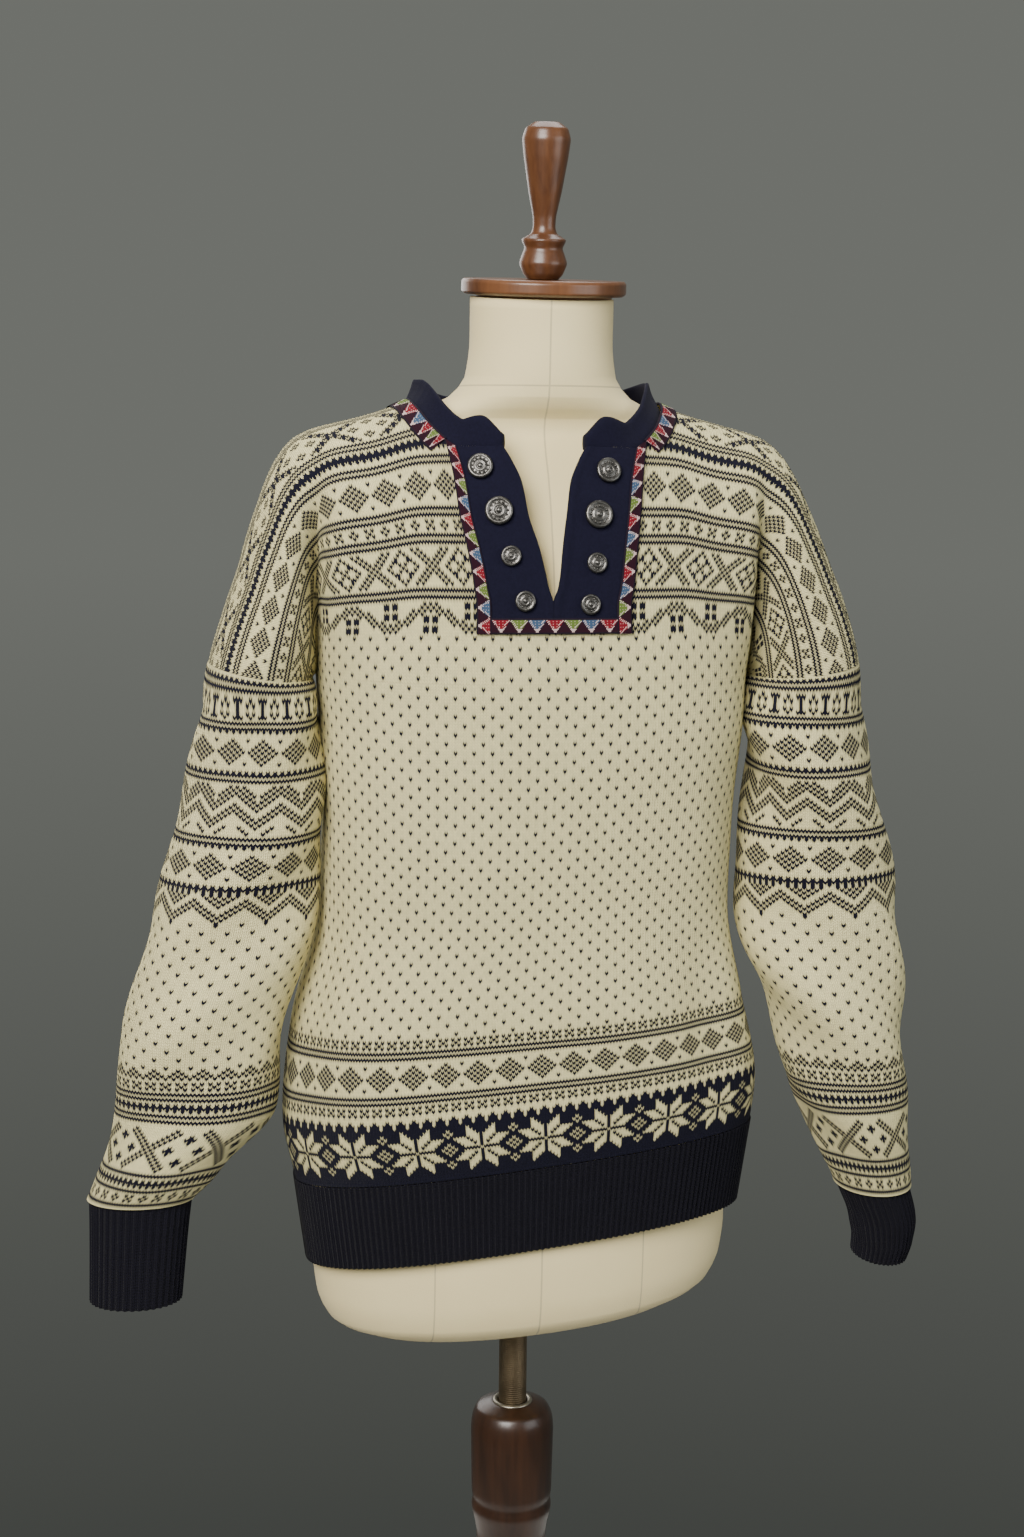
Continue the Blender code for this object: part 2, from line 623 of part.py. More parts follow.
def panel_sheet(front):
    """The points and quads of the front or back, both halves."""
    yokes = {side: Yoke(front, side) for side in (-1, 1)}
    columns = list(BODY_COLUMNS)
    all_columns = columns + list(ARM_COLUMNS)
    folds = BODY_FOLDS if front else BACK_FOLDS
    neck = FRONT_NECK if front else BACK_NECK
    row_count = len(row_shares(1.0))
    points = {}
    sheet = {}
    for i, column in enumerate(all_columns):
        shares = row_shares(float(table_curve(neck, "share", column)))
        for j, t in enumerate(shares):
            for side, yoke in yokes.items():
                sheet[(side, i, j)] = yoke.row_points(t, [column])[0]
    rows = np.linspace(RIB_LINE, ARMPIT_LINE, BODY_ROWS + 1)
    lower = {}
    for j, height in enumerate(rows[:-1]):
        for i, p in enumerate(body_row(height, front, columns)):
            lower[(i, j)] = p

    slit_row = LOWER_YOKE_ROWS.index(SLIT_FOOT)

    def key_of(part, side, i, j):
        if i == 0 and not (front and part == "yoke" and j > slit_row):
            return (part, 0, i, j)
        return (part, side, i, j)

    seam_shift = -SEAM_GAP / 2.0 if front else SEAM_GAP / 2.0
    for side in (-1, 1):
        mirror = np.array((side, 1.0, 1.0))
        for (i, j), p in lower.items():
            shift = float(table_curve(BODY_RINGS, "shift", p[2] - FORM_BOTTOM))
            points[key_of("body", side, i, j)] = p * mirror + np.array((shift, 0.0, 0.0))
    for (side, i, j), p in sheet.items():
        points[key_of("yoke", side, i, j)] = lean_left(p * np.array((side, 1.0, 1.0)))
    quads = []
    last = len(columns) - 1

    def corner(side, i, j):
        """Rows of the body run on into the rows of the yoke."""
        if j < BODY_ROWS:
            return key_of("body", side, i, j)
        return key_of("yoke", side, i, j - BODY_ROWS)

    for side in (-1, 1):
        for j in range(BODY_ROWS + row_count - 1):
            width = last if j < BODY_ROWS else len(all_columns) - 1
            for i in range(width):
                quad = (corner(side, i, j), corner(side, i + 1, j), corner(side, i + 1, j + 1),
                        corner(side, i, j + 1))
                outward = (side > 0) == front
                quads.append(quad if outward else quad[::-1])

    normals = mesh_normals(points, quads)
    for key in points:
        part, side, i, j = key
        if part == "body" or j == 0:
            column = side * columns[i] if i <= last else 0.0
            height = points[key][2] - FORM_BOTTOM
            points[key] = points[key] + normals[key] * fold_offset(folds, column, height)
    points = {key: settle(p) for key, p in points.items()}
    normals = mesh_normals(points, quads)
    rules = []
    for key in points:
        part, side, i, j = key
        on_side = (part == "body" and i == last) or (part == "yoke" and j == 0 and i >= last)
        on_ridge = part == "yoke" and j == row_count - 1 and all_columns[i] >= NECK_POINT
        if on_side or on_ridge:
            rules.append((key, Y_AXIS))
            points[key] = points[key] + Y_AXIS * seam_shift
        if part == "yoke" and i == len(all_columns) - 1:
            axis = np.array((side * math.cos(ARM_SWING), 0.0, -math.sin(ARM_SWING)))
            rules.append((key, axis))
        if part == "body" and j == 0:
            rules.append((key, np.array((0.0, 0.0, 1.0))))
    flatten_normals(normals, rules)
    return points, quads, normals, corner, row_count


def build_panel(name, front, material):
    points, quads, normals, corner, row_count = panel_sheet(front)
    half = WALL / 2.0
    thicken(name, points, quads, normals, lambda key: -half, lambda key: half, material)
    return points, normals, corner, row_count


def subset_wall(name, source, cells, low, high, material, gap_keys=()):
    """A piece that lies on a panel: the panel's own cells, moved out."""
    points, normals = source
    quads = list(cells)
    used = {key for quad in quads for key in quad}
    shift = dict(gap_keys)
    chosen = {key: points[key] + shift.get(key, np.zeros(3)) for key in points if key in used}
    thicken(name, chosen, quads, normals, lambda key: low, lambda key: high, material)


def band_cells(corner, side, columns, rows, front=True):
    cells = []
    for j in rows:
        for i in columns:
            quad = (corner(side, i, j), corner(side, i + 1, j), corner(side, i + 1, j + 1),
                    corner(side, i, j + 1))
            cells.append(quad if (side > 0) == front else quad[::-1])
    return cells


def build_plackets(front, back, navy, ribbon):
    points, normals, corner, row_count = front
    foot = BODY_ROWS + LOWER_YOKE_ROWS.index(PLACKET_FOOT)
    ribbon_top = BODY_ROWS + LOWER_YOKE_ROWS.index(RIBBON_TOP)
    top = BODY_ROWS + row_count - 1
    low = WALL / 2.0 + SEAM_GAP
    high = low + NAVY_WALL
    ribbon_low = high + SEAM_GAP
    ribbon_high = ribbon_low + RIBBON_WALL
    inner = BODY_COLUMNS.index(RIBBON_INNER)
    outer = BODY_COLUMNS.index(RIBBON_OUTER)
    neck = BODY_COLUMNS.index(NECK_POINT)
    for side, word in ((-1, "left"), (1, "right")):
        cells = band_cells(corner, side, range(outer), range(foot, top))
        centre = [corner(side, 0, j) for j in range(foot, top + 1)]
        nudge = [(key, np.array((side * SEAM_GAP / 2.0, 0.0, 0.0))) for key in centre]
        subset_wall("placket_" + word, (points, normals), cells, low, high, navy, nudge)
        cells = band_cells(corner, side, range(inner, outer), range(foot, top))
        edge = [corner(side, outer, j) for j in (top - 1, top)]
        nudge = [(key, np.array((-side * SEAM_GAP, 0.0, 0.0))) for key in edge]
        subset_wall("ribbon_" + word, (points, normals), cells, ribbon_low, ribbon_high, ribbon, nudge)
        cells = band_cells(corner, side, range(outer, neck), range(top - 1, top))
        seam = [(corner(side, outer, j), np.array((side * SEAM_GAP, 0.0, 0.0))) for j in (top - 1, top)]
        subset_wall("ribbon_neck_" + word, (points, normals), cells, low, low + RIBBON_WALL, ribbon, seam)
    cells = []
    nudge = []
    for side in (-1, 1):
        cells += band_cells(corner, side, range(inner), range(foot, ribbon_top))
        nudge += [(corner(side, inner, j), np.array((-side * SEAM_GAP, 0.0, 0.0)))
                  for j in (foot, ribbon_top)]
    subset_wall("ribbon_foot", (points, normals), cells, ribbon_low, ribbon_high, ribbon, nudge)
    points, normals, corner, row_count = back
    cells = []
    for side in (-1, 1):
        cells += band_cells(corner, side, range(neck), range(top - 1, top), front=False)
    subset_wall("ribbon_neck_back", (points, normals), cells, low, low + RIBBON_WALL, ribbon)


def collar_path(front, back):
    """The neckline, from the left slit corner round the back to the right one."""
    neck = BODY_COLUMNS.index(NECK_POINT)
    f_points, _, f_corner, f_rows = front
    b_points, _, b_corner, b_rows = back
    f_top = BODY_ROWS + f_rows - 1
    b_top = BODY_ROWS + b_rows - 1
    left = [f_points[f_corner(-1, i, f_top)] for i in range(neck)]
    behind = [b_points[b_corner(-1, i, b_top)] for i in range(neck, -1, -1)]
    behind += [b_points[b_corner(1, i, b_top)] for i in range(1, neck + 1)]
    right = [f_points[f_corner(1, i, f_top)] for i in range(neck - 1, -1, -1)]
    return np.array(left + behind + right)


def build_collar(front, back, material):
    path = collar_path(front, back)
    centre = np.array((0.0, NECK_CENTRE_Y, 0.0))
    count = len(path)
    points = {}
    quads = []
    for k, p in enumerate(path):
        share = 1.0 - abs(2.0 * k / (count - 1) - 1.0)
        rise = float(table_curve(COLLAR_LINE, "rise", share))
        lean = float(table_curve(COLLAR_LINE, "lean", share))
        out = p - centre
        out[2] = 0.0
        out = out / np.linalg.norm(out)
        foot = p - out * ((WALL + NAVY_WALL) / 2.0 + SEAM_GAP)
        for j in range(COLLAR_STEPS + 1):
            f = j / COLLAR_STEPS
            points[(k, j)] = foot + np.array((0.0, 0.0, rise * f)) - out * lean * math.sin(f * math.pi / 2.0)
    for k in range(count - 1):
        for j in range(COLLAR_STEPS):
            quads.append(((k, j), (k + 1, j), (k + 1, j + 1), (k, j + 1))[::-1])
    normals = mesh_normals(points, quads)
    middle = points[(count // 2, 1)]
    if np.dot(normals[(count // 2, 1)], middle - centre) < 0.0:
        quads = [quad[::-1] for quad in quads]
        normals = mesh_normals(points, quads)
    half = NAVY_WALL / 2.0
    thicken("collar", points, quads, normals, lambda key: -half, lambda key: half, material)


def cuff_ring(row, side, sides):
    """Points round a cuff, starting at the outer side and passing the front first."""
    angle = np.linspace(0.0, TWO_PI, sides, endpoint=False)
    x = side * (row.x + row.half_width * np.cos(angle))
    y = row.y - row.half_depth * np.sin(angle)
    z = np.full_like(x, FORM_BOTTOM + row.height)
    return np.stack((x, y, z), axis=-1)


def ring_frame(table, heights):
    """Rows of a sleeve table at any height."""
    kind = type(table[0])
    rising = sorted(table, key=lambda row: row.height)
    rows = []
    for height in heights:
        values = [float(table_curve(rising, field, height)) for field in kind._fields[1:]]
        rows.append(kind(height, *values))
    return rows


def seam_ring(reach):
    """Centre and half sizes of the ring where a sleeve meets the body, on the +X side."""
    middle = (reach + ARMPIT_RADIUS) / 2.0
    across = np.array((math.sin(ARM_SWING), 0.0, math.cos(ARM_SWING)))
    centre = np.array((ARMPIT_X, ARM_Y, FORM_BOTTOM + ARMPIT_LINE - ARMPIT_RADIUS)) + across * middle
    return centre, across, (reach - ARMPIT_RADIUS) / 2.0, YOKE_BULGES[-1].front


def sleeve_points(table, side, reach, heights):
    """The rings of a sleeve: the seam's ring turns level over the first stretch."""
    centre, across, half_width, half_depth = seam_ring(reach)
    seam = centre[2] - FORM_BOTTOM
    twist = BODY_RINGS[-1].centre - ARM_Y
    axis = np.array((math.cos(ARM_SWING), 0.0, -math.sin(ARM_SWING)))
    centre = centre + axis * SEAM_GAP
    angle = np.linspace(0.0, TWO_PI, SLEEVE_SIDES, endpoint=False)
    result = []
    top = table[0].height
    for k, height in enumerate(heights):
        if height > top:
            share = float(ease((seam - height) / (seam - top)))
        else:
            share = 1.0
        row = ring_frame(table, [min(height, top)])[0]
        level = np.array((1.0, 0.0, 0.0))
        mixed = across * (1.0 - share) + level * share
        mixed = mixed / np.linalg.norm(mixed)
        middle = np.array((row.x, row.y, FORM_BOTTOM + height))
        middle = centre * (1.0 - share) + middle * share
        if k == 0:
            middle = centre
        width = half_width * (1.0 - share) + row.half_width * share
        depth = half_depth * (1.0 - share) + row.half_depth * share
        ring = []
        for a in angle:
            back = twist * (1.0 - share) * (1.0 - math.cos(a)) / 2.0
            p = middle + mixed * width * math.cos(a) + Y_AXIS * (back - depth * math.sin(a))
            ring.append(p * np.array((side, 1.0, 1.0)))
        result.append(ring)
    return result


def ring_wall(name, rings, thickness, material, ribs=0.0, end_rules=()):
    """A tube through rings, with ribs raised on every other column."""
    points = {}
    quads = []
    sides = len(rings[0])
    for j, ring in enumerate(rings):
        for i, p in enumerate(ring):
            points[(i, j)] = np.array(p)
    for j in range(len(rings) - 1):
        for i in range(sides):
            n = (i + 1) % sides
            quad = ((i, j), (n, j), (n, j + 1), (i, j + 1))
            quads.append(quad)
    normals = mesh_normals(points, quads)
    middle = sum(rings[1]) / sides
    if np.dot(normals[(0, 1)], points[(0, 1)] - middle) < 0.0:
        quads = [quad[::-1] for quad in quads]
        normals = mesh_normals(points, quads)
    rules = []
    for row, direction in end_rules:
        rules += [((i, row), direction) for i in range(sides)]
    flatten_normals(normals, rules)
    half = thickness / 2.0
    thicken(name, points, quads, normals, lambda key: -half,
            lambda key: half + (ribs if key[0] % 2 else 0.0), material)


def build_sleeve(word, side, table, cuff, wool, navy):
    reach = (LEFT_ARM_REACH if side < 0 else RIGHT_ARM_REACH)[-1].reach
    top = seam_ring(reach)[0][2] - FORM_BOTTOM
    foot = table[-1].height
    heights = [top - (top - foot) * share for share in SLEEVE_STEPS]
    rings = sleeve_points(table, side, reach, heights)
    axis = np.array((side * math.cos(ARM_SWING), 0.0, -math.sin(ARM_SWING)))
    rules = ((0, axis), (len(rings) - 1, Z_AXIS))
    ring_wall("sleeve_" + word, rings, WALL, wool, end_rules=rules)
    heights = np.linspace(cuff[0].height - SEAM_GAP, cuff[-1].height, CUFF_RINGS)
    rings = [cuff_ring(row, side, CUFF_RIBS * 2) for row in ring_frame(cuff, heights)]
    ring_wall("cuff_" + word, rings, WALL, navy, ribs=RIB_DEPTH, end_rules=((0, Z_AXIS),))


def build_hem(front, back, navy):
    """The ribbed hem: a ring under the lowest row of the front and back."""
    f_points, _, f_corner, _ = front
    b_points, _, b_corner, _ = back
    last = len(BODY_COLUMNS) - 1
    loop = [f_points[f_corner(-1, i, 0)] for i in range(last, 0, -1)]
    loop += [f_points[f_corner(1, i, 0)] for i in range(0, last)]
    loop += [b_points[b_corner(1, i, 0)] for i in range(last, 0, -1)]
    loop += [b_points[b_corner(-1, i, 0)] for i in range(0, last)]
    steps = 2 * RIBS_PER_COLUMN
    top = []
    for a, b in zip(loop, loop[1:] + loop[:1]):
        top += [a + (b - a) * k / steps for k in range(steps)]
    top_ring = table_ring(BODY_RINGS, RIB_LINE)
    foot_ring = table_ring(BODY_RINGS, HEM_LINE)
    rings = []
    for share in HEM_SHARES:
        ring = []
        for p in top:
            scale_x = 1.0 + (foot_ring.half_width / top_ring.half_width - 1.0) * share
            scale_y = 1.0 + (foot_ring.front / top_ring.front - 1.0) * share
            drop = (RIB_LINE - HEM_LINE) * share + SEAM_GAP
            ring.append(np.array((p[0] * scale_x, top_ring.centre + (p[1] - top_ring.centre) * scale_y,
                                  p[2] - drop)))
        rings.append(ring)
    ring_wall("hem_rib", rings, WALL, navy, ribs=RIB_DEPTH, end_rules=((0, Z_AXIS),))


def build_buttons(pewter):
    """Domed discs on short shanks, square to the placket under them."""
    cover = WALL / 2.0 + SEAM_GAP + NAVY_WALL + SEAM_GAP
    grids = {}
    for side in (-1, 1):
        yoke = Yoke(True, side)
        mirror = np.array((side, 1.0, 1.0))
        columns = np.linspace(0.0, RIBBON_OUTER, SEARCH_COLUMNS)
        shares = np.linspace(*BUTTON_SEARCH, SEARCH_ROWS)
        rows = [yoke.row_points(t, columns) * mirror for t in shares]
        grids[side] = np.array([[lean_left(p) for p in row] for row in rows])
    for button in BUTTONS:
        grid = grids[1 if button.x > 0.0 else -1]
        square = np.cross(np.gradient(grid, axis=1), np.gradient(grid, axis=0))
        square = square / np.linalg.norm(square, axis=-1, keepdims=True)
        target = np.array((button.x, FORM_BOTTOM + button.height))
        miss = np.linalg.norm(grid[..., (0, 2)] - target, axis=-1)
        spot = np.unravel_index(np.argmin(miss), miss.shape)
        n = square[spot] if square[spot][1] < 0.0 else -square[spot]
        button_mesh(button, grid[spot] + n * cover, n, pewter)


def button_mesh(button, foot, n, pewter):
    across = np.cross(n, (0.0, 0.0, 1.0))
    across = across / np.linalg.norm(across)
    up = np.cross(across, n)
    r = button.radius
    rings = (
        (r * BUTTON_SHANK_SHARE, 0.0),
        (r * BUTTON_SHANK_SHARE, BUTTON_SHANK),
        (r, BUTTON_SHANK),
        (r, BUTTON_SHANK + BUTTON_EDGE),
        (r * BUTTON_STEP_SHARE, BUTTON_SHANK + BUTTON_EDGE + BUTTON_DOME / 2.0),
        (r * BUTTON_TOP_SHARE, BUTTON_SHANK + BUTTON_EDGE + BUTTON_DOME),
    )
    vertices = []
    faces = []
    sides = BUTTON_SIDES
    for radius, lift in rings:
        for k in range(sides):
            angle = TWO_PI * k / sides
            vertices.append(foot + n * lift + (across * math.cos(angle) + up * math.sin(angle)) * radius)
    for ring in range(len(rings) - 1):
        for k in range(sides):
            m = (k + 1) % sides
            faces.append((ring * sides + k, ring * sides + m, (ring + 1) * sides + m, (ring + 1) * sides + k))
    faces.append(tuple(reversed(range(sides))))
    faces.append(tuple((len(rings) - 1) * sides + k for k in range(sides)))
    add_object(button.name, vertices, faces, pewter)


def build_form(linen):
    vertices = []
    faces = []
    angle = np.linspace(0.0, TWO_PI, FORM_SIDES, endpoint=False)
    for height in FORM_LEVELS:
        ring = table_ring(FORM_RINGS, height)
        x, y = oval(ring, angle, FORM_POWER)
        x = x + ring.shift
        z = FORM_BOTTOM + height + FORM_TILT * x * (1.0 - ease(height / FORM_TILT_FADE))
        nod = ease((height - NECK_TILT_FROM) / (FORM_LEVELS[-1] - NECK_TILT_FROM))
        z = z + math.tan(NECK_TILT) * (y - CAP_CENTRE_Y) * nod
        vertices += list(zip(x, y, z))
    for r in range(len(FORM_LEVELS) - 1):
        for k in range(FORM_SIDES):
            n = (k + 1) % FORM_SIDES
            faces.append((r * FORM_SIDES + k, r * FORM_SIDES + n,
                          (r + 1) * FORM_SIDES + n, (r + 1) * FORM_SIDES + k))
    faces.append(tuple(reversed(range(FORM_SIDES))))
    faces.append(tuple((len(FORM_LEVELS) - 1) * FORM_SIDES + k for k in range(FORM_SIDES)))
    add_object("form_torso", vertices, faces, linen)


def build_stand(wood, brass):
    cap = lathe("neck_cap", CAP_PROFILE, wood, SEAM_GAP)
    nod(cap, CAP_X)
    finial = lathe("finial", FINIAL_PROFILE, wood, CAP_PROFILE[-1].height + 2.0 * SEAM_GAP, sides=FINIAL_SIDES)
    nod(finial, FINIAL_X)
    pole = lathe("pole", POLE_PROFILE, brass, POLE_FOOT)
    for vertex in pole.data.vertices:
        if vertex.co.z > FORM_BOTTOM - POLE_RADIUS:
            vertex.co.z += FORM_TILT * vertex.co.x
    lathe("column", COLUMN_PROFILE, wood, BASE_THICK + SEAM_GAP, bore=(BORE_RADIUS, BORE_FLOOR))
    lathe("base", BASE_PROFILE, wood, 0.0, sides=BASE_SIDES)


def nod(obj, x):
    """Sets a turned piece on the form's neck, square to its sloping top."""
    turn = Matrix.Rotation(NECK_TILT, 4, "X")
    obj.data.transform(Matrix.Translation((x, CAP_CENTRE_Y, FORM_BOTTOM + FORM_LEVELS[-1])) @ turn)


def build():
    for obj in list(bpy.data.objects):
        bpy.data.objects.remove(obj, do_unlink=True)
    cream = new_material("cream_wool", (0.78, 0.73, 0.58), 0.9)
    navy_knit = new_material("navy_rib", (0.018, 0.020, 0.036), 0.9)
    navy_cloth = new_material("navy_cloth", (0.014, 0.015, 0.028), 0.8)
    ribbon = new_material("woven_ribbon", (0.20, 0.03, 0.05), 0.6)
    pewter = new_material("pewter", (0.42, 0.40, 0.36), 0.4, 1.0)
    linen = new_material("form_linen", (0.70, 0.64, 0.50), 0.85)
    wood = new_material("turned_wood", (0.19, 0.055, 0.025), 0.35)
    brass = new_material("pole_bronze", (0.30, 0.22, 0.12), 0.45, 1.0)
    front = build_panel("body_front", True, cream)
    back = build_panel("body_back", False, cream)
    build_plackets(front, back, navy_cloth, ribbon)
    build_collar(front, back, navy_cloth)
    build_hem(front, back, navy_knit)
    build_sleeve("left", -1, LEFT_SLEEVE, LEFT_CUFF, cream, navy_knit)
    build_sleeve("right", 1, RIGHT_SLEEVE, RIGHT_CUFF, cream, navy_knit)
    build_buttons(pewter)
    build_form(linen)
    build_stand(wood, brass)


build()
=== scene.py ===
"""Fair isle pullover on a dress form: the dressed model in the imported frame."""

import math
from collections import namedtuple

import bpy
import numpy as np
from mathutils import Matrix, Vector


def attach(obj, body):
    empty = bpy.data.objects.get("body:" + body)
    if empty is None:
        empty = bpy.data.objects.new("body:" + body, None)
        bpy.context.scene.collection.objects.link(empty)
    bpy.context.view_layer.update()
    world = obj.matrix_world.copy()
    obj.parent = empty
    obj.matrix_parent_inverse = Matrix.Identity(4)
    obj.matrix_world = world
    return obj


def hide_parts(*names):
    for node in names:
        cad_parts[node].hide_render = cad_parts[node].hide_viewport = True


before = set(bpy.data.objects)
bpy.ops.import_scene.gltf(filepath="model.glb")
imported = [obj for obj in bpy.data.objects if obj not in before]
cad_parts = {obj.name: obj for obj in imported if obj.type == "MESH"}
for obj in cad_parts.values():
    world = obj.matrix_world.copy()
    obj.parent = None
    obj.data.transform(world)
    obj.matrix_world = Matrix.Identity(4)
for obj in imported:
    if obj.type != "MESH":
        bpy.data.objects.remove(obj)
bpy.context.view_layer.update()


def table_of(kind, *values):
    """A table of named rows."""
    return tuple(kind(*row) for row in values)


FORM_BOTTOM = 0.555
TWO_PI = 2.0 * math.pi
TINY = 1e-12

# Wall and seam sizes
WALL = 0.0024
SEAM_GAP = 0.0003
NAVY_WALL = 0.0016
RIBBON_WALL = 0.0012

# Columns of the front and back, in stitches from the centre line
SIDE_SEAM = 100
SLEEVE_SEAM = 130
RIBBON_INNER = 21.0
RIBBON_OUTER = 26.0
NECK_POINT = 38.0

# The body below the armholes: superellipse rings
Ring = namedtuple("Ring", "height half_width front back centre shift")
BODY_RINGS = table_of(
    Ring, (0.081, 0.186, 0.103, 0.145, -0.045, 0.0), (0.153, 0.196, 0.109, 0.147, -0.045, -0.001),
    (0.2, 0.202, 0.116, 0.149, -0.045, -0.0045), (0.28, 0.191, 0.115, 0.14, -0.045, -0.0085),
    (0.365, 0.173, 0.111, 0.127, -0.045, -0.004), (0.445, 0.171, 0.115, 0.113, -0.046, -0.001),
    (0.52, 0.175, 0.119, 0.106, -0.048, 0.0), (0.565, 0.178, 0.118, 0.104, -0.05, 0.0))
BODY_POWER = 2.45
ROW_SAMPLES = 121
HEM_LINE = 0.081
RIB_LINE = 0.153
ARMPIT_LINE = 0.565

# Soft folds of the body: centre in stitches from the centre front, depth outwards
Fold = namedtuple("Fold", "column spread depth low high")
BODY_FOLDS = table_of(
    Fold, (58.0, 9.0, -0.005, 0.15, 0.35), (74.0, 10.0, 0.004, 0.15, 0.38),
    (-78.0, 11.0, -0.005, 0.15, 0.42), (-50.0, 13.0, 0.0035, 0.15, 0.36), (20.0, 16.0, 0.003, 0.17, 0.38))
BACK_FOLDS = table_of(
    Fold, (62.0, 12.0, -0.006, 0.15, 0.44), (-66.0, 11.0, -0.0055, 0.15, 0.42),
    (8.0, 18.0, 0.0045, 0.15, 0.4))
HEM_TILT = 0.110
HEM_PITCH = 0.148
HEM_FADE = (0.12, 0.46)

# The yoke: stations swing round the armpit from upright to the sleeve seam
ARMPIT_X = 0.178
ARMPIT_RADIUS = 0.006
ARM_SWING = math.radians(80.0)
RIDGE_Y = -0.045
ARM_Y = -0.063
NECK_CENTRE_Y = -0.055
NECK_HALF_WIDTH = 0.105
NECK_HEIGHT = 0.782
NECK_CROWN = 0.042

Shoulder = namedtuple("Shoulder", "x height")
SHOULDER_LINE = table_of(
    Shoulder, (0.105, 0.782), (0.13, 0.774), (0.16, 0.766), (0.178, 0.762))
Swing = namedtuple("Swing", "degrees reach")
LEFT_ARM_REACH = table_of(
    Swing, (0.0, 0.203), (5.0, 0.197), (12.0, 0.174), (20.0, 0.144), (39.0, 0.105), (65.0, 0.09),
    (80.0, 0.089))
RIGHT_ARM_REACH = table_of(
    Swing, (0.0, 0.203), (5.0, 0.198), (12.0, 0.178), (20.0, 0.152), (39.0, 0.116), (65.0, 0.0985),
    (80.0, 0.096))
Bulge = namedtuple("Bulge", "station front back rise")
YOKE_BULGES = table_of(
    Bulge, (0.0, 0.0, 0.0, 0.85), (0.45, 0.002, 0.002, 0.85), (0.8, 0.04, 0.034, 1.1),
    (1.0, 0.066, 0.06, 1.4), (1.3, 0.073, 0.07, 1.9), (2.0, 0.075, 0.075, 2.0))
FRONT_CREASE = 0.026
BACK_CREASE = 0.008
CREASE_STATION = 0.98
CREASE_SPREAD = 0.13
CREASE_SWEEP = math.radians(62.0)
CREASE_POWER = 1.2
# How the yoke's depth closes towards its ridge, at the body and more at the sleeve
DEPTH_POWER = 0.8
DEPTH_POWER_OUT = 1.2
# The share of the way up by which the columns spread from the body's to the sleeve's
COLUMN_SPREAD = 0.5
SEAM_ROOM = 0.004

# The neck slit: half its width, and how far it leans left, against the height
Slit = namedtuple("Slit", "height half_width lean")
NECK_SLIT = table_of(
    Slit, (0.565, 0.0, 0.0), (0.628, 0.0, 0.003), (0.642, 0.0042, 0.003), (0.672, 0.0095, 0.0047),
    (0.698, 0.0155, 0.0072), (0.722, 0.0194, 0.0076), (0.738, 0.0262, 0.008), (0.755, 0.0361, 0.0083),
    (0.79, 0.055, 0.0083))
SLIT_REACH = 0.10
LEAN_REACH = 0.15

# The neckline: the share of the way up at which it cuts each column
Neck = namedtuple("Neck", "column share")
FRONT_NECK = table_of(
    Neck, (0.0, 0.69), (21.0, 0.69), (26.0, 0.715), (31.0, 0.765), (35.0, 0.86), (38.0, 1.0))
BACK_NECK = table_of(
    Neck, (0.0, 0.8), (21.0, 0.82), (31.0, 0.87), (35.0, 0.92), (38.0, 1.0))
PLACKET_FOOT = 0.151
RIBBON_TOP = 0.196

# Sleeves: centre line and half sizes at each height
Sleeve = namedtuple("Sleeve", "height x y half_width half_depth")
LEFT_SLEEVE = table_of(
    Sleeve, (0.5375, 0.2255, -0.065, 0.0465, 0.069), (0.452, 0.2345, -0.069, 0.058, 0.057),
    (0.366, 0.2462, -0.073, 0.0659, 0.048), (0.278, 0.2741, -0.075, 0.0654, 0.046),
    (0.2065, 0.2825, -0.076, 0.0635, 0.042), (0.1615, 0.3085, -0.076, 0.0485, 0.038),
    (0.142, 0.319, -0.076, 0.0455, 0.033), (0.13, 0.3274, -0.076, 0.043, 0.028))
RIGHT_SLEEVE = table_of(
    Sleeve, (0.5375, 0.2283, -0.065, 0.0473, 0.069), (0.452, 0.2398, -0.069, 0.0578, 0.058),
    (0.366, 0.2462, -0.073, 0.0678, 0.045), (0.278, 0.2645, -0.075, 0.0595, 0.05),
    (0.2065, 0.2785, -0.076, 0.0495, 0.05), (0.17, 0.2893, -0.076, 0.0403, 0.048),
    (0.142, 0.2985, -0.076, 0.035, 0.043), (0.115, 0.305, -0.076, 0.032, 0.04))
LEFT_CUFF = table_of(
    Sleeve, (0.13, 0.3274, -0.076, 0.04, 0.025), (0.105, 0.329, -0.076, 0.0385, 0.0255),
    (0.042, 0.3327, -0.076, 0.036, 0.0265))
RIGHT_CUFF = table_of(
    Sleeve, (0.115, 0.305, -0.076, 0.029, 0.037), (0.08, 0.3155, -0.076, 0.0258, 0.036),
    (0.065, 0.316, -0.076, 0.0232, 0.034), (0.049, 0.3135, -0.076, 0.021, 0.031))
RIB_DEPTH = 0.0011

# Standing collar: height and lean against the turn from the front end (0) to the back (1)
Collar = namedtuple("Collar", "share rise lean")
COLLAR_LINE = table_of(
    Collar, (0.0, 0.009, 0.0), (0.07, 0.024, 0.004), (0.18, 0.018, 0.011), (0.33, 0.016, 0.012),
    (0.5, 0.018, 0.008), (0.75, 0.018, 0.004), (1.0, 0.018, 0.002))

# Pewter buttons on the plackets
Button = namedtuple("Button", "name x height radius")
BUTTONS = table_of(
    Button, ("button_left_1", -0.0575, 0.734, 0.01), ("button_left_2", -0.0446, 0.7, 0.011),
    ("button_left_3", -0.0365, 0.666, 0.008), ("button_left_4", -0.026, 0.631, 0.008),
    ("button_right_1", 0.0413, 0.73, 0.01), ("button_right_2", 0.0325, 0.697, 0.011),
    ("button_right_3", 0.0308, 0.661, 0.008), ("button_right_4", 0.025, 0.628, 0.008))

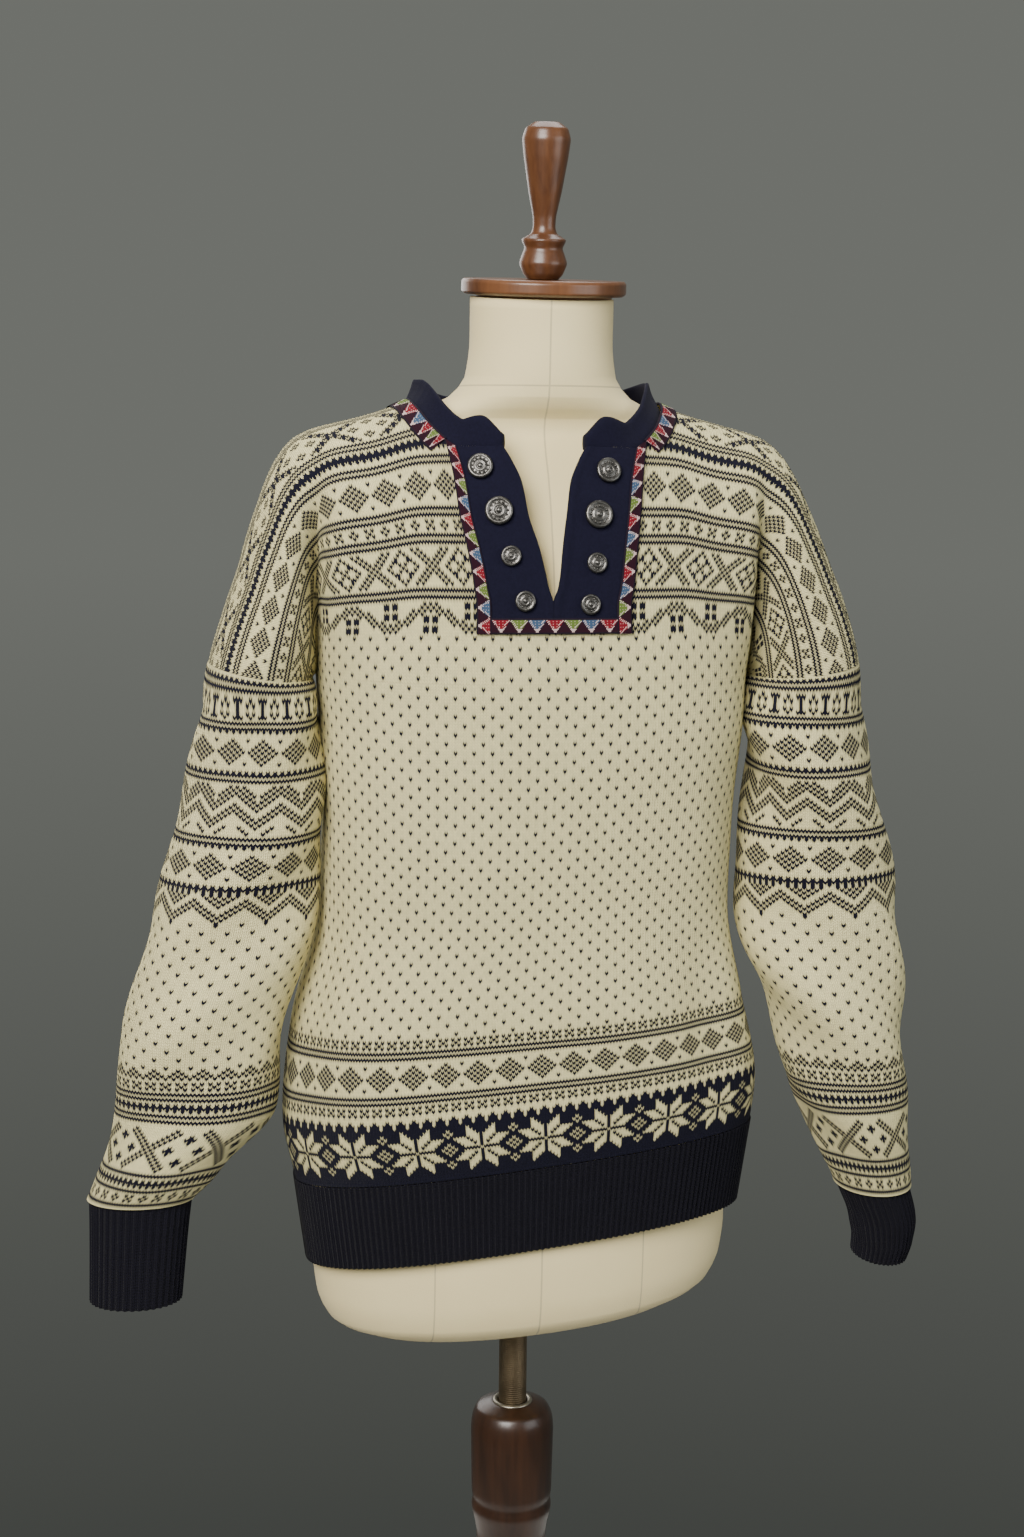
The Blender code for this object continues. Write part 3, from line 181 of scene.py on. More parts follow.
# Dress form, cap, finial, pole, column and base
FORM_RINGS = table_of(
    Ring, (0.0, 0.108, 0.05, 0.078, -0.045, -0.004), (0.008, 0.142, 0.073, 0.102, -0.045, -0.003),
    (0.022, 0.167, 0.088, 0.122, -0.045, -0.003), (0.045, 0.177, 0.094, 0.133, -0.045, -0.003),
    (0.075, 0.18, 0.096, 0.137, -0.045, -0.003), (0.13, 0.18, 0.097, 0.137, -0.045, -0.003),
    (0.22, 0.168, 0.089, 0.123, -0.045, -0.003), (0.33, 0.142, 0.081, 0.105, -0.045, -0.002),
    (0.45, 0.155, 0.101, 0.097, -0.045, 0.0), (0.54, 0.165, 0.11, 0.096, -0.048, 0.0),
    (0.62, 0.17, 0.105, 0.094, -0.052, 0.0), (0.69, 0.172, 0.084, 0.084, -0.054, 0.0),
    (0.725, 0.171, 0.068, 0.074, -0.053, 0.0), (0.7457, 0.166, 0.056, 0.062, -0.05, 0.0),
    (0.7602, 0.152, 0.049, 0.052, -0.05, 0.0), (0.7706, 0.124, 0.048, 0.049, -0.053, 0.0),
    (0.7776, 0.098, 0.051, 0.049, -0.058, 0.001), (0.7885, 0.074, 0.056, 0.05, -0.062, 0.002),
    (0.805, 0.061, 0.057, 0.053, -0.064, 0.002), (0.835, 0.0575, 0.056, 0.055, -0.066, 0.002),
    (0.8675, 0.0575, 0.057, 0.056, -0.067, 0.002))
FORM_POWER = 2.15
FORM_LEVELS = (0.0, 0.008, 0.022, 0.045, 0.075, 0.13, 0.18, 0.24, 0.33, 0.40, 0.47, 0.54, 0.60, 0.65,
               0.69, 0.725, 0.7457, 0.7602, 0.7706, 0.7776, 0.7885, 0.805, 0.835, 0.8675)
FORM_TILT = 0.075
FORM_TILT_FADE = 0.25
NECK_TILT = math.radians(5.0)
NECK_TILT_FROM = 0.800
CAP_X = 0.0035
FINIAL_X = 0.0025
CAP_CENTRE_Y = -0.0665

Turn = namedtuple("Turn", "height radius")
CAP_PROFILE = table_of(
    Turn, (0.0, 0.055), (0.0015, 0.055), (0.002, 0.0635), (0.004, 0.0663), (0.012, 0.0663), (0.014, 0.0645))
FINIAL_PROFILE = table_of(
    Turn, (0.0, 0.0125), (0.004, 0.016), (0.0125, 0.0195), (0.021, 0.0165), (0.0243, 0.015),
    (0.031, 0.0183), (0.0355, 0.0105), (0.0405, 0.0089), (0.049, 0.0093), (0.0675, 0.0132),
    (0.0945, 0.0177), (0.1085, 0.0194), (0.1165, 0.017), (0.1212, 0.01))
POLE_RADIUS = 0.0125
POLE_FOOT = 0.200
POLE_PROFILE = table_of(
    Turn, (0.0, POLE_RADIUS), (FORM_BOTTOM - POLE_FOOT - SEAM_GAP, POLE_RADIUS))
BORE_RADIUS = 0.0131
BASE_THICK = 0.030
COLUMN_PROFILE = table_of(
    Turn, (0.0, 0.048), (0.012, 0.05), (0.026, 0.046), (0.045, 0.035), (0.15, 0.031), (0.295, 0.0315),
    (0.308, 0.034), (0.317, 0.0362), (0.323, 0.0362), (0.327, 0.0345), (0.331, 0.0362), (0.395, 0.0374),
    (0.406, 0.0362), (0.414, 0.0325), (0.419, 0.0185))
BASE_PROFILE = table_of(
    Turn, (0.0, 0.178), (0.006, 0.185), (0.016, 0.185), (0.024, 0.174), (0.03, 0.15))

Y_AXIS = np.array((0.0, 1.0, 0.0))
Z_AXIS = np.array((0.0, 0.0, 1.0))


def table_curve(table, field, position):
    """A smooth curve through one column of a table, against the table's first column."""
    stops = np.array([row[0] for row in table], dtype=float)
    values = np.array([getattr(row, field) for row in table], dtype=float)
    x = np.clip(np.asarray(position, dtype=float), stops[0], stops[-1])
    secants = np.diff(values) / np.diff(stops)
    slopes = np.empty_like(values)
    slopes[1:-1] = np.where(secants[:-1] * secants[1:] > 0.0,
                            2.0 * secants[:-1] * secants[1:] / (secants[:-1] + secants[1:] + TINY), 0.0)
    slopes[0] = secants[0]
    slopes[-1] = secants[-1]
    i = np.clip(np.searchsorted(stops, x) - 1, 0, len(stops) - 2)
    step = stops[i + 1] - stops[i]
    f = (x - stops[i]) / step
    a = values[i] * (1 + 2 * f) * (1 - f) ** 2 + step * slopes[i] * f * (1 - f) ** 2
    b = values[i + 1] * f * f * (3 - 2 * f) - step * slopes[i + 1] * f * f * (1 - f)
    return a + b


def ease(value):
    """A smooth step from 0 to 1."""
    f = np.clip(value, 0.0, 1.0)
    return f * f * (3.0 - 2.0 * f)


def signed_power(value, power):
    return np.sign(value) * np.abs(value) ** power


def table_ring(table, height):
    """The row of a ring table at any height."""
    return Ring(height, *[float(table_curve(table, field, height)) for field in Ring._fields[1:]])


def oval(ring, angle, power):
    """A point of a superellipse, angle 0 at the centre front and a quarter turn at +X."""
    depth = np.where(np.cos(angle) > 0.0, ring.front, ring.back)
    x = ring.half_width * signed_power(np.sin(angle), 2.0 / power)
    y = ring.centre - depth * signed_power(np.cos(angle), 2.0 / power)
    return x, y


def along(points, distances):
    """Points at given distances along a polyline."""
    steps = np.linalg.norm(np.diff(points, axis=0), axis=1)
    travel = np.concatenate(((0.0,), np.cumsum(steps)))
    return np.stack([np.interp(distances, travel, points[:, k]) for k in range(3)], axis=-1), travel[-1]


def path_length(points):
    return along(points, [0.0])[1]


def body_row(height, front, columns):
    """The half row of the body at a height, from the centre line to the +X side seam."""
    angle = np.linspace(0.0, math.pi / 2.0, ROW_SAMPLES)
    if not front:
        angle = math.pi - angle
    x, y = oval(table_ring(BODY_RINGS, height), angle, BODY_POWER)
    line = np.stack((x, y, np.full_like(x, FORM_BOTTOM + height)), axis=-1)
    length = path_length(line)
    return along(line, np.array(columns) / SIDE_SEAM * length)[0]


class Yoke:
    """The wall above the armholes, as rows and columns of stitches on its +X half."""

    STATIONS = 141
    STEPS = 121

    def __init__(self, front, side):
        self.front = front
        self.reach = LEFT_ARM_REACH if side < 0 else RIGHT_ARM_REACH
        self.station = np.linspace(0.0, 2.0, self.STATIONS)
        beta = np.linspace(0.0, math.pi / 2.0, self.STEPS)
        lines = [self.station_line(g, beta) for g in self.station]
        self.lines = []
        self.lengths = []
        for line in lines:
            fine, length = along(line, np.linspace(0.0, 1.0, self.STEPS) * path_length(line))
            self.lines.append(fine)
            self.lengths.append(length)
        self.lengths = np.array(self.lengths)
        self.row_length = self.lengths.copy()
        neck = np.searchsorted(self.station, self.neck_station())
        self.row_length[:neck] = self.lengths[neck]
        self.quarter = path_length(body_row(ARMPIT_LINE, front, np.linspace(0, SIDE_SEAM, ROW_SAMPLES)))

    def neck_station(self):
        share = (NECK_HALF_WIDTH / ARMPIT_X) ** (BODY_POWER / 2.0)
        return math.asin(share) / (math.pi / 2.0)

    def station_line(self, g, beta):
        rise = float(table_curve(YOKE_BULGES, "rise", g))
        bulge = float(table_curve(YOKE_BULGES, "front" if self.front else "back", g))
        sign = 1.0 if self.front else -1.0
        ring = table_ring(BODY_RINGS, ARMPIT_LINE)
        if g <= 1.0:
            angle = g * math.pi / 2.0
            x, y_start = oval(ring, angle if self.front else math.pi - angle, BODY_POWER)
            if x < NECK_HALF_WIDTH:
                top = NECK_HEIGHT + NECK_CROWN * (1.0 - (x / NECK_HALF_WIDTH) ** 2)
            else:
                top = float(table_curve(SHOULDER_LINE, "height", x))
            swing = 0.0
            reach = top - ARMPIT_LINE + ARMPIT_RADIUS
            origin_x = x
        else:
            swing = (g - 1.0) * ARM_SWING
            reach = float(table_curve(self.reach, "reach", math.degrees(swing)))
            y_start = ring.centre
            origin_x = ARMPIT_X
        outwards = float(ease(g - 1.0))
        y_top = RIDGE_Y + (ARM_Y - RIDGE_Y) * outwards
        drop = DEPTH_POWER + DEPTH_POWER_OUT * outwards
        r = ARMPIT_RADIUS + (reach - ARMPIT_RADIUS) * np.sin(beta) ** rise
        y = y_top + (y_start - y_top) * np.cos(beta) ** drop - sign * bulge * np.sin(2.0 * beta)
        crease = FRONT_CREASE if self.front else BACK_CREASE
        crease = crease * math.exp(-((g - CREASE_STATION) / CREASE_SPREAD) ** 2)
        crease = crease * np.sin(np.clip(beta / CREASE_SWEEP, 0.0, 1.0) * math.pi) ** CREASE_POWER
        y = y + sign * crease
        x = origin_x + r * math.sin(swing)
        z = FORM_BOTTOM + ARMPIT_LINE - ARMPIT_RADIUS + r * math.cos(swing)
        return np.stack((x * np.ones_like(r), y, z), axis=-1)

    def row(self, t):
        """The row at share t of the way up, as a polyline over the stations."""
        points = []
        for line, length, full in zip(self.lines, self.lengths, self.row_length):
            share = min(1.0, t * full / length) * (self.STEPS - 1)
            i = min(int(share), self.STEPS - 2)
            f = share - i
            points.append(line[i] * (1.0 - f) + line[i + 1] * f)
        return np.array(points)

    def row_points(self, t, columns):
        """Points of one row at columns counted in stitches."""
        line = self.row(t)
        length = path_length(line)
        grown = float(ease(t / COLUMN_SPREAD))
        inner = self.quarter * (1.0 - grown) + length * SIDE_SEAM / SLEEVE_SEAM * grown
        inner = min(inner, length - SEAM_ROOM)
        s = np.array(columns, dtype=float)
        travel = np.where(s <= SIDE_SEAM, s / SIDE_SEAM * inner,
                          inner + (length - inner) * (s - SIDE_SEAM) / (SLEEVE_SEAM - SIDE_SEAM))
        if self.front:
            opening = float(table_curve(NECK_SLIT, "half_width", line[0][2] - FORM_BOTTOM))
            travel = travel + opening * (1.0 - ease(travel / SLIT_REACH))
        return along(line, travel)[0]


def cuff_ring(row, side, sides):
    """Points round a cuff, starting at the outer side and passing the front first."""
    angle = np.linspace(0.0, TWO_PI, sides, endpoint=False)
    x = side * (row.x + row.half_width * np.cos(angle))
    y = row.y - row.half_depth * np.sin(angle)
    z = np.full_like(x, FORM_BOTTOM + row.height)
    return np.stack((x, y, z), axis=-1)


def ring_frame(table, heights):
    """Rows of a sleeve table at any height."""
    kind = type(table[0])
    rising = sorted(table, key=lambda row: row.height)
    rows = []
    for height in heights:
        values = [float(table_curve(rising, field, height)) for field in kind._fields[1:]]
        rows.append(kind(height, *values))
    return rows


def seam_ring(reach):
    """Centre and half sizes of the ring where a sleeve meets the body, on the +X side."""
    middle = (reach + ARMPIT_RADIUS) / 2.0
    across = np.array((math.sin(ARM_SWING), 0.0, math.cos(ARM_SWING)))
    centre = np.array((ARMPIT_X, ARM_Y, FORM_BOTTOM + ARMPIT_LINE - ARMPIT_RADIUS)) + across * middle
    return centre, across, (reach - ARMPIT_RADIUS) / 2.0, YOKE_BULGES[-1].front


# Ribs, plackets and the collar
RIB_PERIOD = 4.0
RIB_DROP = 0.0006
RIB_RETURN = 0.02
PLACKET_COLUMNS = 90
PLACKET_ROWS = 110
PLACKET_ROLL = 0.0010
PLACKET_IN = 0.003
PLACKET_EDGE = RIBBON_OUTER - 0.4
COLLAR_STEPS = 40
COLLAR_ROWS = 220
COLLAR_SIDES = 22
COLLAR_HALF = 0.0030
COLLAR_WOBBLE = 0.0010
COLLAR_ROUND = 0.7
COLLAR_INWARD = 0.0016
COLLAR_OVER = 0.003
COLLAR_UNDER = 0.002

# The woven ribbon: triangles in order along each length
RED = (0.20, 0.007, 0.016)
GREEN = (0.11, 0.17, 0.03)
BLUE = (0.045, 0.09, 0.16)
THREAD_WHITE = (0.70, 0.55, 0.52)
RIBBON_GROUND = (0.022, 0.004, 0.011)
RIBBON_EDGE = (0.014, 0.008, 0.016)
LEFT_ORDER = (RED, RED, GREEN, BLUE, RED, GREEN, BLUE, RED, GREEN, BLUE, RED, GREEN)
RIGHT_ORDER = (RED, RED, BLUE, GREEN, RED, BLUE, GREEN, RED, BLUE, GREEN, RED, BLUE)
RIBBON_PITCH = 0.0144
PITCH_CELLS = 20
ACROSS_CELLS = 18
RIBBON_SKIRT = 0.0011
RIBBON_CROWN = 0.0004
NECK_RIBBON = 0.0125
TUCK = 0.0018
TRIM_STEPS = 60
FOOT_STEPS = 40

# Sides and steps of the form and the turned pieces, and the ferrule on the column
FORM_ROWS = 110
FORM_SIDES = 112
CAP_GRID = (96, 40)
FINIAL_GRID = (72, 110)
POLE_GRID = (48, 60)
COLUMN_GRID = (96, 170)
BASE_GRID = (128, 60)
BORE_SHOWN = 0.05
FERRULE_SIDES = 13
FERRULE_RADIUS = 0.0158
FERRULE_WIDTH = 0.0022
FERRULE_LIFT = 0.0006
FERRULE_HEIGHT = 0.0014

# Buttons: shapes in shares of their radius, and their lift off the cloth in metres
BUTTON_RADII = (0.0, 0.02, 0.16, 0.20, 0.27, 0.31, 0.44, 0.50, 0.72, 0.78, 0.86, 0.95, 1.0, 1.0, 0.9, 0.0)
BUTTON_LEVELS = (0.34, 0.34, 0.33, 0.24, 0.22, 0.26, 0.26, 0.20, 0.18, 0.24, 0.25, 0.21, 0.14, 0.0, -0.02,
                 -0.02)
BUTTON_SIDES = 40
BUTTON_LIFT = 0.0016
BOSSES = 12
BOSS_RING = 0.61
BOSS_FOOT = 0.17
BOSS_RADIUS = 0.10
BOSS_RISE = 0.11

# Floor, backdrop, lamps and camera
FLOOR_RADIUS = 0.55
FLOOR_Z = -0.0005
FLOOR_SIDES = 96
FLOOR_COLOUR = (0.62, 0.61, 0.58)
BACKDROP = ((0.26, (0.060, 0.064, 0.058)), (0.47, (0.158, 0.165, 0.149)))
Lamp = namedtuple("Lamp", "name place size power colour")
LAMPS = table_of(
    Lamp, ("key", (-1.3, -2.3, 2.5), 1.6, 158.0, (1.0, 0.97, 0.93)),
    ("fill", (2.0, -1.8, 1.6), 1.8, 30.0, (0.95, 0.98, 1.0)),
    ("top", (0.2, 0.6, 3.0), 1.4, 26.0, (1.0, 1.0, 1.0)),
    ("behind", (-0.8, 2.4, 1.8), 1.6, 22.0, (1.0, 0.98, 0.96)))
LAMP_TARGET = (0.0, 0.0, 1.0)
SENSOR = 36.0
LENS = 50.0
CAMERA_PLACE = (-0.3007, -1.797, 1.317)
CAMERA_HEADING = 9.285
CAMERA_PITCH = 9.0
CAMERA_ROLL = 0.65

# Where sheets lie on the CAD wall, and the knit's counts, relief and yarn colours
OUT = WALL / 2.0
OVER_KNIT = OUT + SEAM_GAP
BODY_MIDDLE_Y = -0.045
LEG_LEAN = 0.8
STITCH_RELIEF = 0.00035
YOKE_ROWS = 102
YOKE_LICE = 14
YOKE_SMOOTHING = 80
YOKE_INSIDE = (0.10, -0.05)
YOKE_INSIDE_COLUMN = 80
NECK_MARGIN = 0.004
BAND_ROWS = 53
BAND_HEIGHT = 0.122
LICE_ROWS = 120
SLEEVE_STITCHES = 120
CUFF_STITCHES = 76
CUFF_ROWS = 35
HEM_ROWS = 30
SPREAD = 0.48
YARN_VARIATION = 0.10
YARN_SEED = 3
CREAM = (0.93, 0.84, 0.445)
NAVY = (0.006, 0.006, 0.017)

# Seeded waves of hanging knit: how many, how high, and how they slant
Waves = namedtuple("Waves", "count size climb")
BODY_WAVES = Waves(9, 0.0009, (8.0, 26.0))
BODY_WAVE_TURNS = (0.02, 0.10)
BODY_SEEDS = {True: 7, False: 8}
INWARD_SHARE = 0.35
HEM_CALM = 0.06
ARMPIT_CALM = 0.05
SIDE_CALM = 10.0
SLEEVE_WAVES = Waves(10, 0.0010, (8.0, 30.0))
SLEEVE_WAVE_TURNS = (1, 5)
SLEEVE_SEEDS = {-1: 11, 1: 12}
SLEEVE_CALM = (0.1, 0.06)


def full_turn(count):
    """Even angles round a circle."""
    return np.linspace(0.0, TWO_PI, count, endpoint=False)


def circles(radius, level, angle):
    """Rings of points about the Z axis, one for each radius and level."""
    x = radius[:, None] * np.cos(angle)
    return np.stack((x, radius[:, None] * np.sin(angle), np.broadcast_to(level[:, None], x.shape)), axis=-1)


def unit(vectors):
    return vectors / np.linalg.norm(vectors, axis=-1, keepdims=True)


def leaned(points):
    """Moves the slit a little to the left of the photo, over a whole grid."""
    moved = points.copy()
    lean = table_curve(NECK_SLIT, "lean", points[..., 2] - FORM_BOTTOM)
    moved[..., 0] -= lean * (1.0 - ease(np.abs(points[..., 0]) / LEAN_REACH))
    return moved


def settled(points):
    """The hem hangs lower on the left and at the back, over a whole grid."""
    moved = points.copy()
    fade = 1.0 - ease((points[..., 2] - FORM_BOTTOM - HEM_FADE[0]) / (HEM_FADE[1] - HEM_FADE[0]))
    moved[..., 2] += fade * (HEM_TILT * points[..., 0] - HEM_PITCH * (points[..., 1] - BODY_RINGS[0].centre))
    return moved


def grid_normals(grid, closed=False):
    """Normals of a grid of points, before any sign is chosen."""
    if closed:
        across = np.roll(grid, -1, axis=1) - np.roll(grid, 1, axis=1)
    else:
        across = np.gradient(grid, axis=1)
    normals = np.cross(across, np.gradient(grid, axis=0))
    return normals / (np.linalg.norm(normals, axis=-1, keepdims=True) + TINY)


def outward(grid, centre, column=None):
    """A grid's normals, turned away from a centre."""
    normals = grid_normals(grid)
    spot = (grid.shape[0] // 2, grid.shape[1] // 2 if column is None else column)
    return normals if np.dot(normals[spot], grid[spot] - np.array(centre)) > 0.0 else -normals


def ring_normals(rings):
    """Normals of closed rings, turned away from each ring's middle."""
    normals = grid_normals(rings, True)
    away = np.sum(normals * (rings - rings.mean(axis=1, keepdims=True)), axis=-1).mean()
    return normals if away > 0.0 else -normals


def waves(kind, rng, turns, across, up):
    """A sum of slanted waves over a grid, with turns() as the first draw of each."""
    total = np.zeros((len(up), len(across)))
    for _ in range(kind.count):
        a, b, c = turns(), rng.uniform(*kind.climb), rng.uniform(0.0, TWO_PI)
        total += kind.size * np.sin(a * across[None, :] + b * up[:, None] + c)
    return total


def soft_waves(rng, stitches, heights):
    """Small uneven undulations of the hanging body, which fade at its edges and seams."""
    total = waves(BODY_WAVES, rng, lambda: rng.uniform(*BODY_WAVE_TURNS), stitches, heights)
    edge = ease((heights - RIB_LINE) / HEM_CALM) * ease((ARMPIT_LINE - heights) / ARMPIT_CALM)
    side = ease((SIDE_SEAM - np.abs(stitches)) / SIDE_CALM)
    total = np.where(total < 0.0, total * INWARD_SHARE, total)
    return total * edge[:, None] * side[None, :]


def lower_grid(front):
    """Half-stitch columns and rows of the body below the armholes."""
    bands = np.linspace(RIB_LINE, RIB_LINE + BAND_HEIGHT, BAND_ROWS + 1)
    lice_heights = np.linspace(RIB_LINE + BAND_HEIGHT, ARMPIT_LINE, LICE_ROWS + 1)
    heights = np.concatenate((bands, lice_heights[1:]))
    columns = np.arange(0, 2 * SIDE_SEAM + 1) / 2.0
    half = np.array([body_row(height, front, columns) for height in heights])
    left = half[:, :0:-1] * np.array((-1.0, 1.0, 1.0))
    grid = np.concatenate((left, half), axis=1)
    grid[..., 0] += table_curve(BODY_RINGS, "shift", grid[..., 2] - FORM_BOTTOM)
    normals = outward(grid, (0.0, BODY_MIDDLE_Y, grid[len(heights) // 2, 0, 2]))
    stitches = np.arange(-2 * SIDE_SEAM, 2 * SIDE_SEAM + 1) / 2.0
    offset = np.zeros(grid.shape[:2])
    for fold in BODY_FOLDS if front else BACK_FOLDS:
        across = np.exp(-((stitches - fold.column) / fold.spread) ** 2)
        share = np.clip((heights - fold.low) / (fold.high - fold.low), 0.0, 1.0)
        offset += fold.depth * np.sin(math.pi * share)[:, None] * across[None, :]
    offset += soft_waves(np.random.default_rng(BODY_SEEDS[front]), stitches, heights)
    return settled(grid + normals * offset[..., None])


def yoke_grid(front, side):
    """Half-stitch columns and rows of one half of the yoke, from the centre to the sleeve."""
    yoke = Yoke(front, side)
    columns = np.arange(0, 2 * SLEEVE_SEAM + 1) / 2.0
    grid = np.array([yoke.row_points(t, columns) for t in np.linspace(0.0, 1.0, YOKE_ROWS + 1)])
    for _ in range(YOKE_SMOOTHING):
        grid[1:, 1:-1] = 0.25 * grid[1:, :-2] + 0.5 * grid[1:, 1:-1] + 0.25 * grid[1:, 2:]
    grid = leaned(grid * np.array((side, 1.0, 1.0)))
    height = grid[YOKE_ROWS // 2, YOKE_INSIDE_COLUMN, 2]
    inside = (side * YOKE_INSIDE[0], YOKE_INSIDE[1], height)
    return grid, outward(grid, inside, YOKE_INSIDE_COLUMN)


def vee(grid, normals, low=False, high=False):
    """Leans the columns' edges up by most of a row, so that each stitch is a small V."""
    moved = grid.copy()
    moved[1:-1, ::2] = grid[1:-1, ::2] + (grid[2:, ::2] - grid[1:-1, ::2]) * LEG_LEAN
    if low:
        moved[0, ::2] += (grid[1, ::2] - grid[0, ::2]) * LEG_LEAN
    if high:
        moved[-1, ::2] += (grid[-1, ::2] - grid[-2, ::2]) * LEG_LEAN
    sink = np.where(np.arange(grid.shape[1]) % 2 == 0, 0.0, -STITCH_RELIEF)
    return moved + normals * (OUT + sink)[None, :, None]


def grid_mesh(name, grid, colours=None, keep=None, closed=False, flip=False):
    """A mesh of quads over a grid, with a colour for each quad and stitch coordinates."""
    row_count, columns = grid.shape[:2]
    index = np.arange(row_count * columns).reshape(row_count, columns)
    right = np.roll(index, -1, axis=1) if closed else index[:, 1:]
    left = index if closed else index[:, :-1]
    quads = np.stack((left[:-1], right[:-1], right[1:], left[1:]), axis=-1)
    j, k = np.meshgrid(np.arange(row_count - 1), np.arange(quads.shape[1]), indexing="ij")
    corners = ((0, 0), (1, 0), (1, 1), (0, 1))
    uv = np.stack([np.stack(((k + dk) / 2.0, j + dj), -1) for dk, dj in corners], axis=2)
    data = [quads.reshape(-1, 4), uv.reshape(-1, 4, 2)]
    if colours is not None:
        tint = np.asarray(colours, dtype=float)
        if tint.ndim == 3:
            tint = np.repeat(tint[:, :, None], 4, axis=2)
        data.append(tint.reshape(-1, 4, 3))
    if keep is not None:
        data = [values[keep.reshape(-1)] for values in data]
    if flip:
        data = [values[:, ::-1] for values in data]
    used, quads = np.unique(data[0], return_inverse=True)
    quads = quads.reshape(-1, 4)
    points = grid.reshape(-1, 3)[used]
    mesh = bpy.data.meshes.new(name)
    mesh.vertices.add(len(points))
    mesh.vertices.foreach_set("co", points.astype(np.float32).ravel())
    mesh.loops.add(quads.size)
    mesh.loops.foreach_set("vertex_index", quads.astype(np.int32).ravel())
    mesh.polygons.add(len(quads))
    mesh.polygons.foreach_set("loop_start", np.arange(0, quads.size, 4, dtype=np.int32))
    mesh.polygons.foreach_set("loop_total", np.full(len(quads), 4, dtype=np.int32))
    mesh.update(calc_edges=True)
    layer = mesh.uv_layers.new(name="stitch")
    layer.data.foreach_set("uv", data[1].astype(np.float32).ravel())
    if colours is not None:
        attribute = mesh.color_attributes.new("chart", "FLOAT_COLOR", "CORNER")
        rgba = np.concatenate((data[2], np.ones((len(quads), 4, 1))), axis=2)
        attribute.data.foreach_set("color", rgba.astype(np.float32).ravel())
    mesh.polygons.foreach_set("use_smooth", np.full(len(quads), True))
    mesh.validate()
    obj = bpy.data.objects.new(name, mesh)
    bpy.context.scene.collection.objects.link(obj)
    return obj


# Charts: each band has a number of rows, from the top down, and a test for dark stitches
def centred(x, period, middle=0):
    return (x - middle + period // 2) % period - period // 2


def gap(x, y):
    return x != x


def solid(x, y):
    return x == x


def line(x, y):
    return y % 2 == 0


def chain(x, y):
    return np.where(y == 1, x % 2 == 0, np.where(y == 0, x % 4 == 1, x % 4 == 3))


def teeth(x, y):
    return (y == 1) | (y == 2) | ((x % 2 == 0) & (y < 4))


def tooth_row(x, y):
    return x % 2 == 0


def small_teeth(x, y):
    return (y == 1) | (x % 2 == 0)


def flower(dx, dy):
    return (np.abs(dx) + np.abs(dy)) == 1


def big_cross(x, y):
    dx, ex, dy = centred(x, 20), centred(x, 20, 10), y - 6
    diagonal = np.abs(np.abs(dx) - np.abs(dy))
    arms = (diagonal <= 1) & (np.abs(dx) <= 7) & ~((diagonal == 0) & (dx % 2 == 0))
    return arms | flower(ex, dy - 4) | flower(ex, dy + 4) | flower(ex - 4, dy) | flower(ex + 4, dy)


def diamonds(x, y):
    dx, dy = centred(x, 10), y - 5
    checker = (np.abs(dx) + np.abs(dy) <= 4) & ((dx + dy) % 2 == 0)
    return checker | ((dx == -5) & (np.abs(dy) == 4))


def crosses_and_flowers(x, y):
    side, dy = np.abs(x % 10 - 2), y - 1
    return ((side == np.abs(dy)) & (side <= 1)) | flower(x % 10 - 7, dy)


def lattice(x, y):
    dx, ex, dy = centred(x, 20), centred(x, 20, 10), y - 5
    arms = (np.abs(np.abs(dx) - np.abs(dy)) == 1) & (np.abs(dx) <= 6)
    a, b = ex + dy, ex - dy
    inside = (np.abs(a) <= 5) & (np.abs(b) <= 5)
    return arms | (inside & ((a % 5 == 0) | (b % 5 == 0)))


def blocks(dx, dy):
    wide, tall = np.abs(dx), np.abs(dy)
    return (wide >= 1) & (wide <= 2) & (tall >= 1) & (tall <= 2)


def vine(x, y):
    middle = np.round(4.0 + 3.0 * np.cos(TWO_PI * x / 28.0))
    stem = (np.abs(y - middle) <= 1) & ((x + y) % 2 == 0)
    return stem | blocks(centred(x, 28), y - 2) | blocks(centred(x, 28, 14), y - 6)


def lice(x, y):
    return ((x % 6 == 0) & (y % 6 == 0)) | ((x % 6 == 3) & (y % 6 == 3))


def little_crosses(x, y):
    return np.where(y == 1, x % 4 == 1, x % 2 == 0)


def navy_teeth(x, y):
    return np.where(y == 0, x % 4 == 0, x % 4 != 2)


def star(x, y):
    """Cream eight-pointed stars on navy, with a small checker diamond between."""
    dx, dy = np.abs(centred(x, 20)), np.abs(y - 9)
    low, high = np.minimum(dx, dy), np.maximum(dx, dy)
    petal = (low >= 1) & (low < high) & (low <= 4) & (high <= 8) & (low >= high - 4)
    core = (dx <= 1) & (dy <= 1) & ((dx + dy) % 2 == 0)
    ex, ey = centred(x, 20, 10), y - 9
    checker = (np.abs(ex) + np.abs(ey) <= 3) & ((ex + ey) % 2 == 0) & (np.abs(ex) <= 2)
    return ~(petal | core | checker | flower(ex, ey - 6) | flower(ex, ey + 6))


def hourglass(x, y):
    dy = np.abs(y - 2)
    side = np.abs(x % 8 - 5)
    return (np.abs(x % 8 - 1) <= np.maximum(dy - 1, 0)) | ((side + dy == 2) & (side <= 1))


def zigzag(x, y):
    level = y - np.abs(centred(x, 12))
    checker = (((level >= 0) & (level <= 3)) | ((level >= 6) & (level <= 9))) & ((x + y) % 2 == 0)
    return checker | ((level == -2) & (y <= 3)) | ((level == 12) & (y >= 14))


def hanging_triangles(x, y):
    side = np.abs(centred(x, 12))
    level = y - 8 + side
    return ((side <= 4 - y) | ((level >= 0) & (level <= 2))) & ((x + y) % 2 == 0)


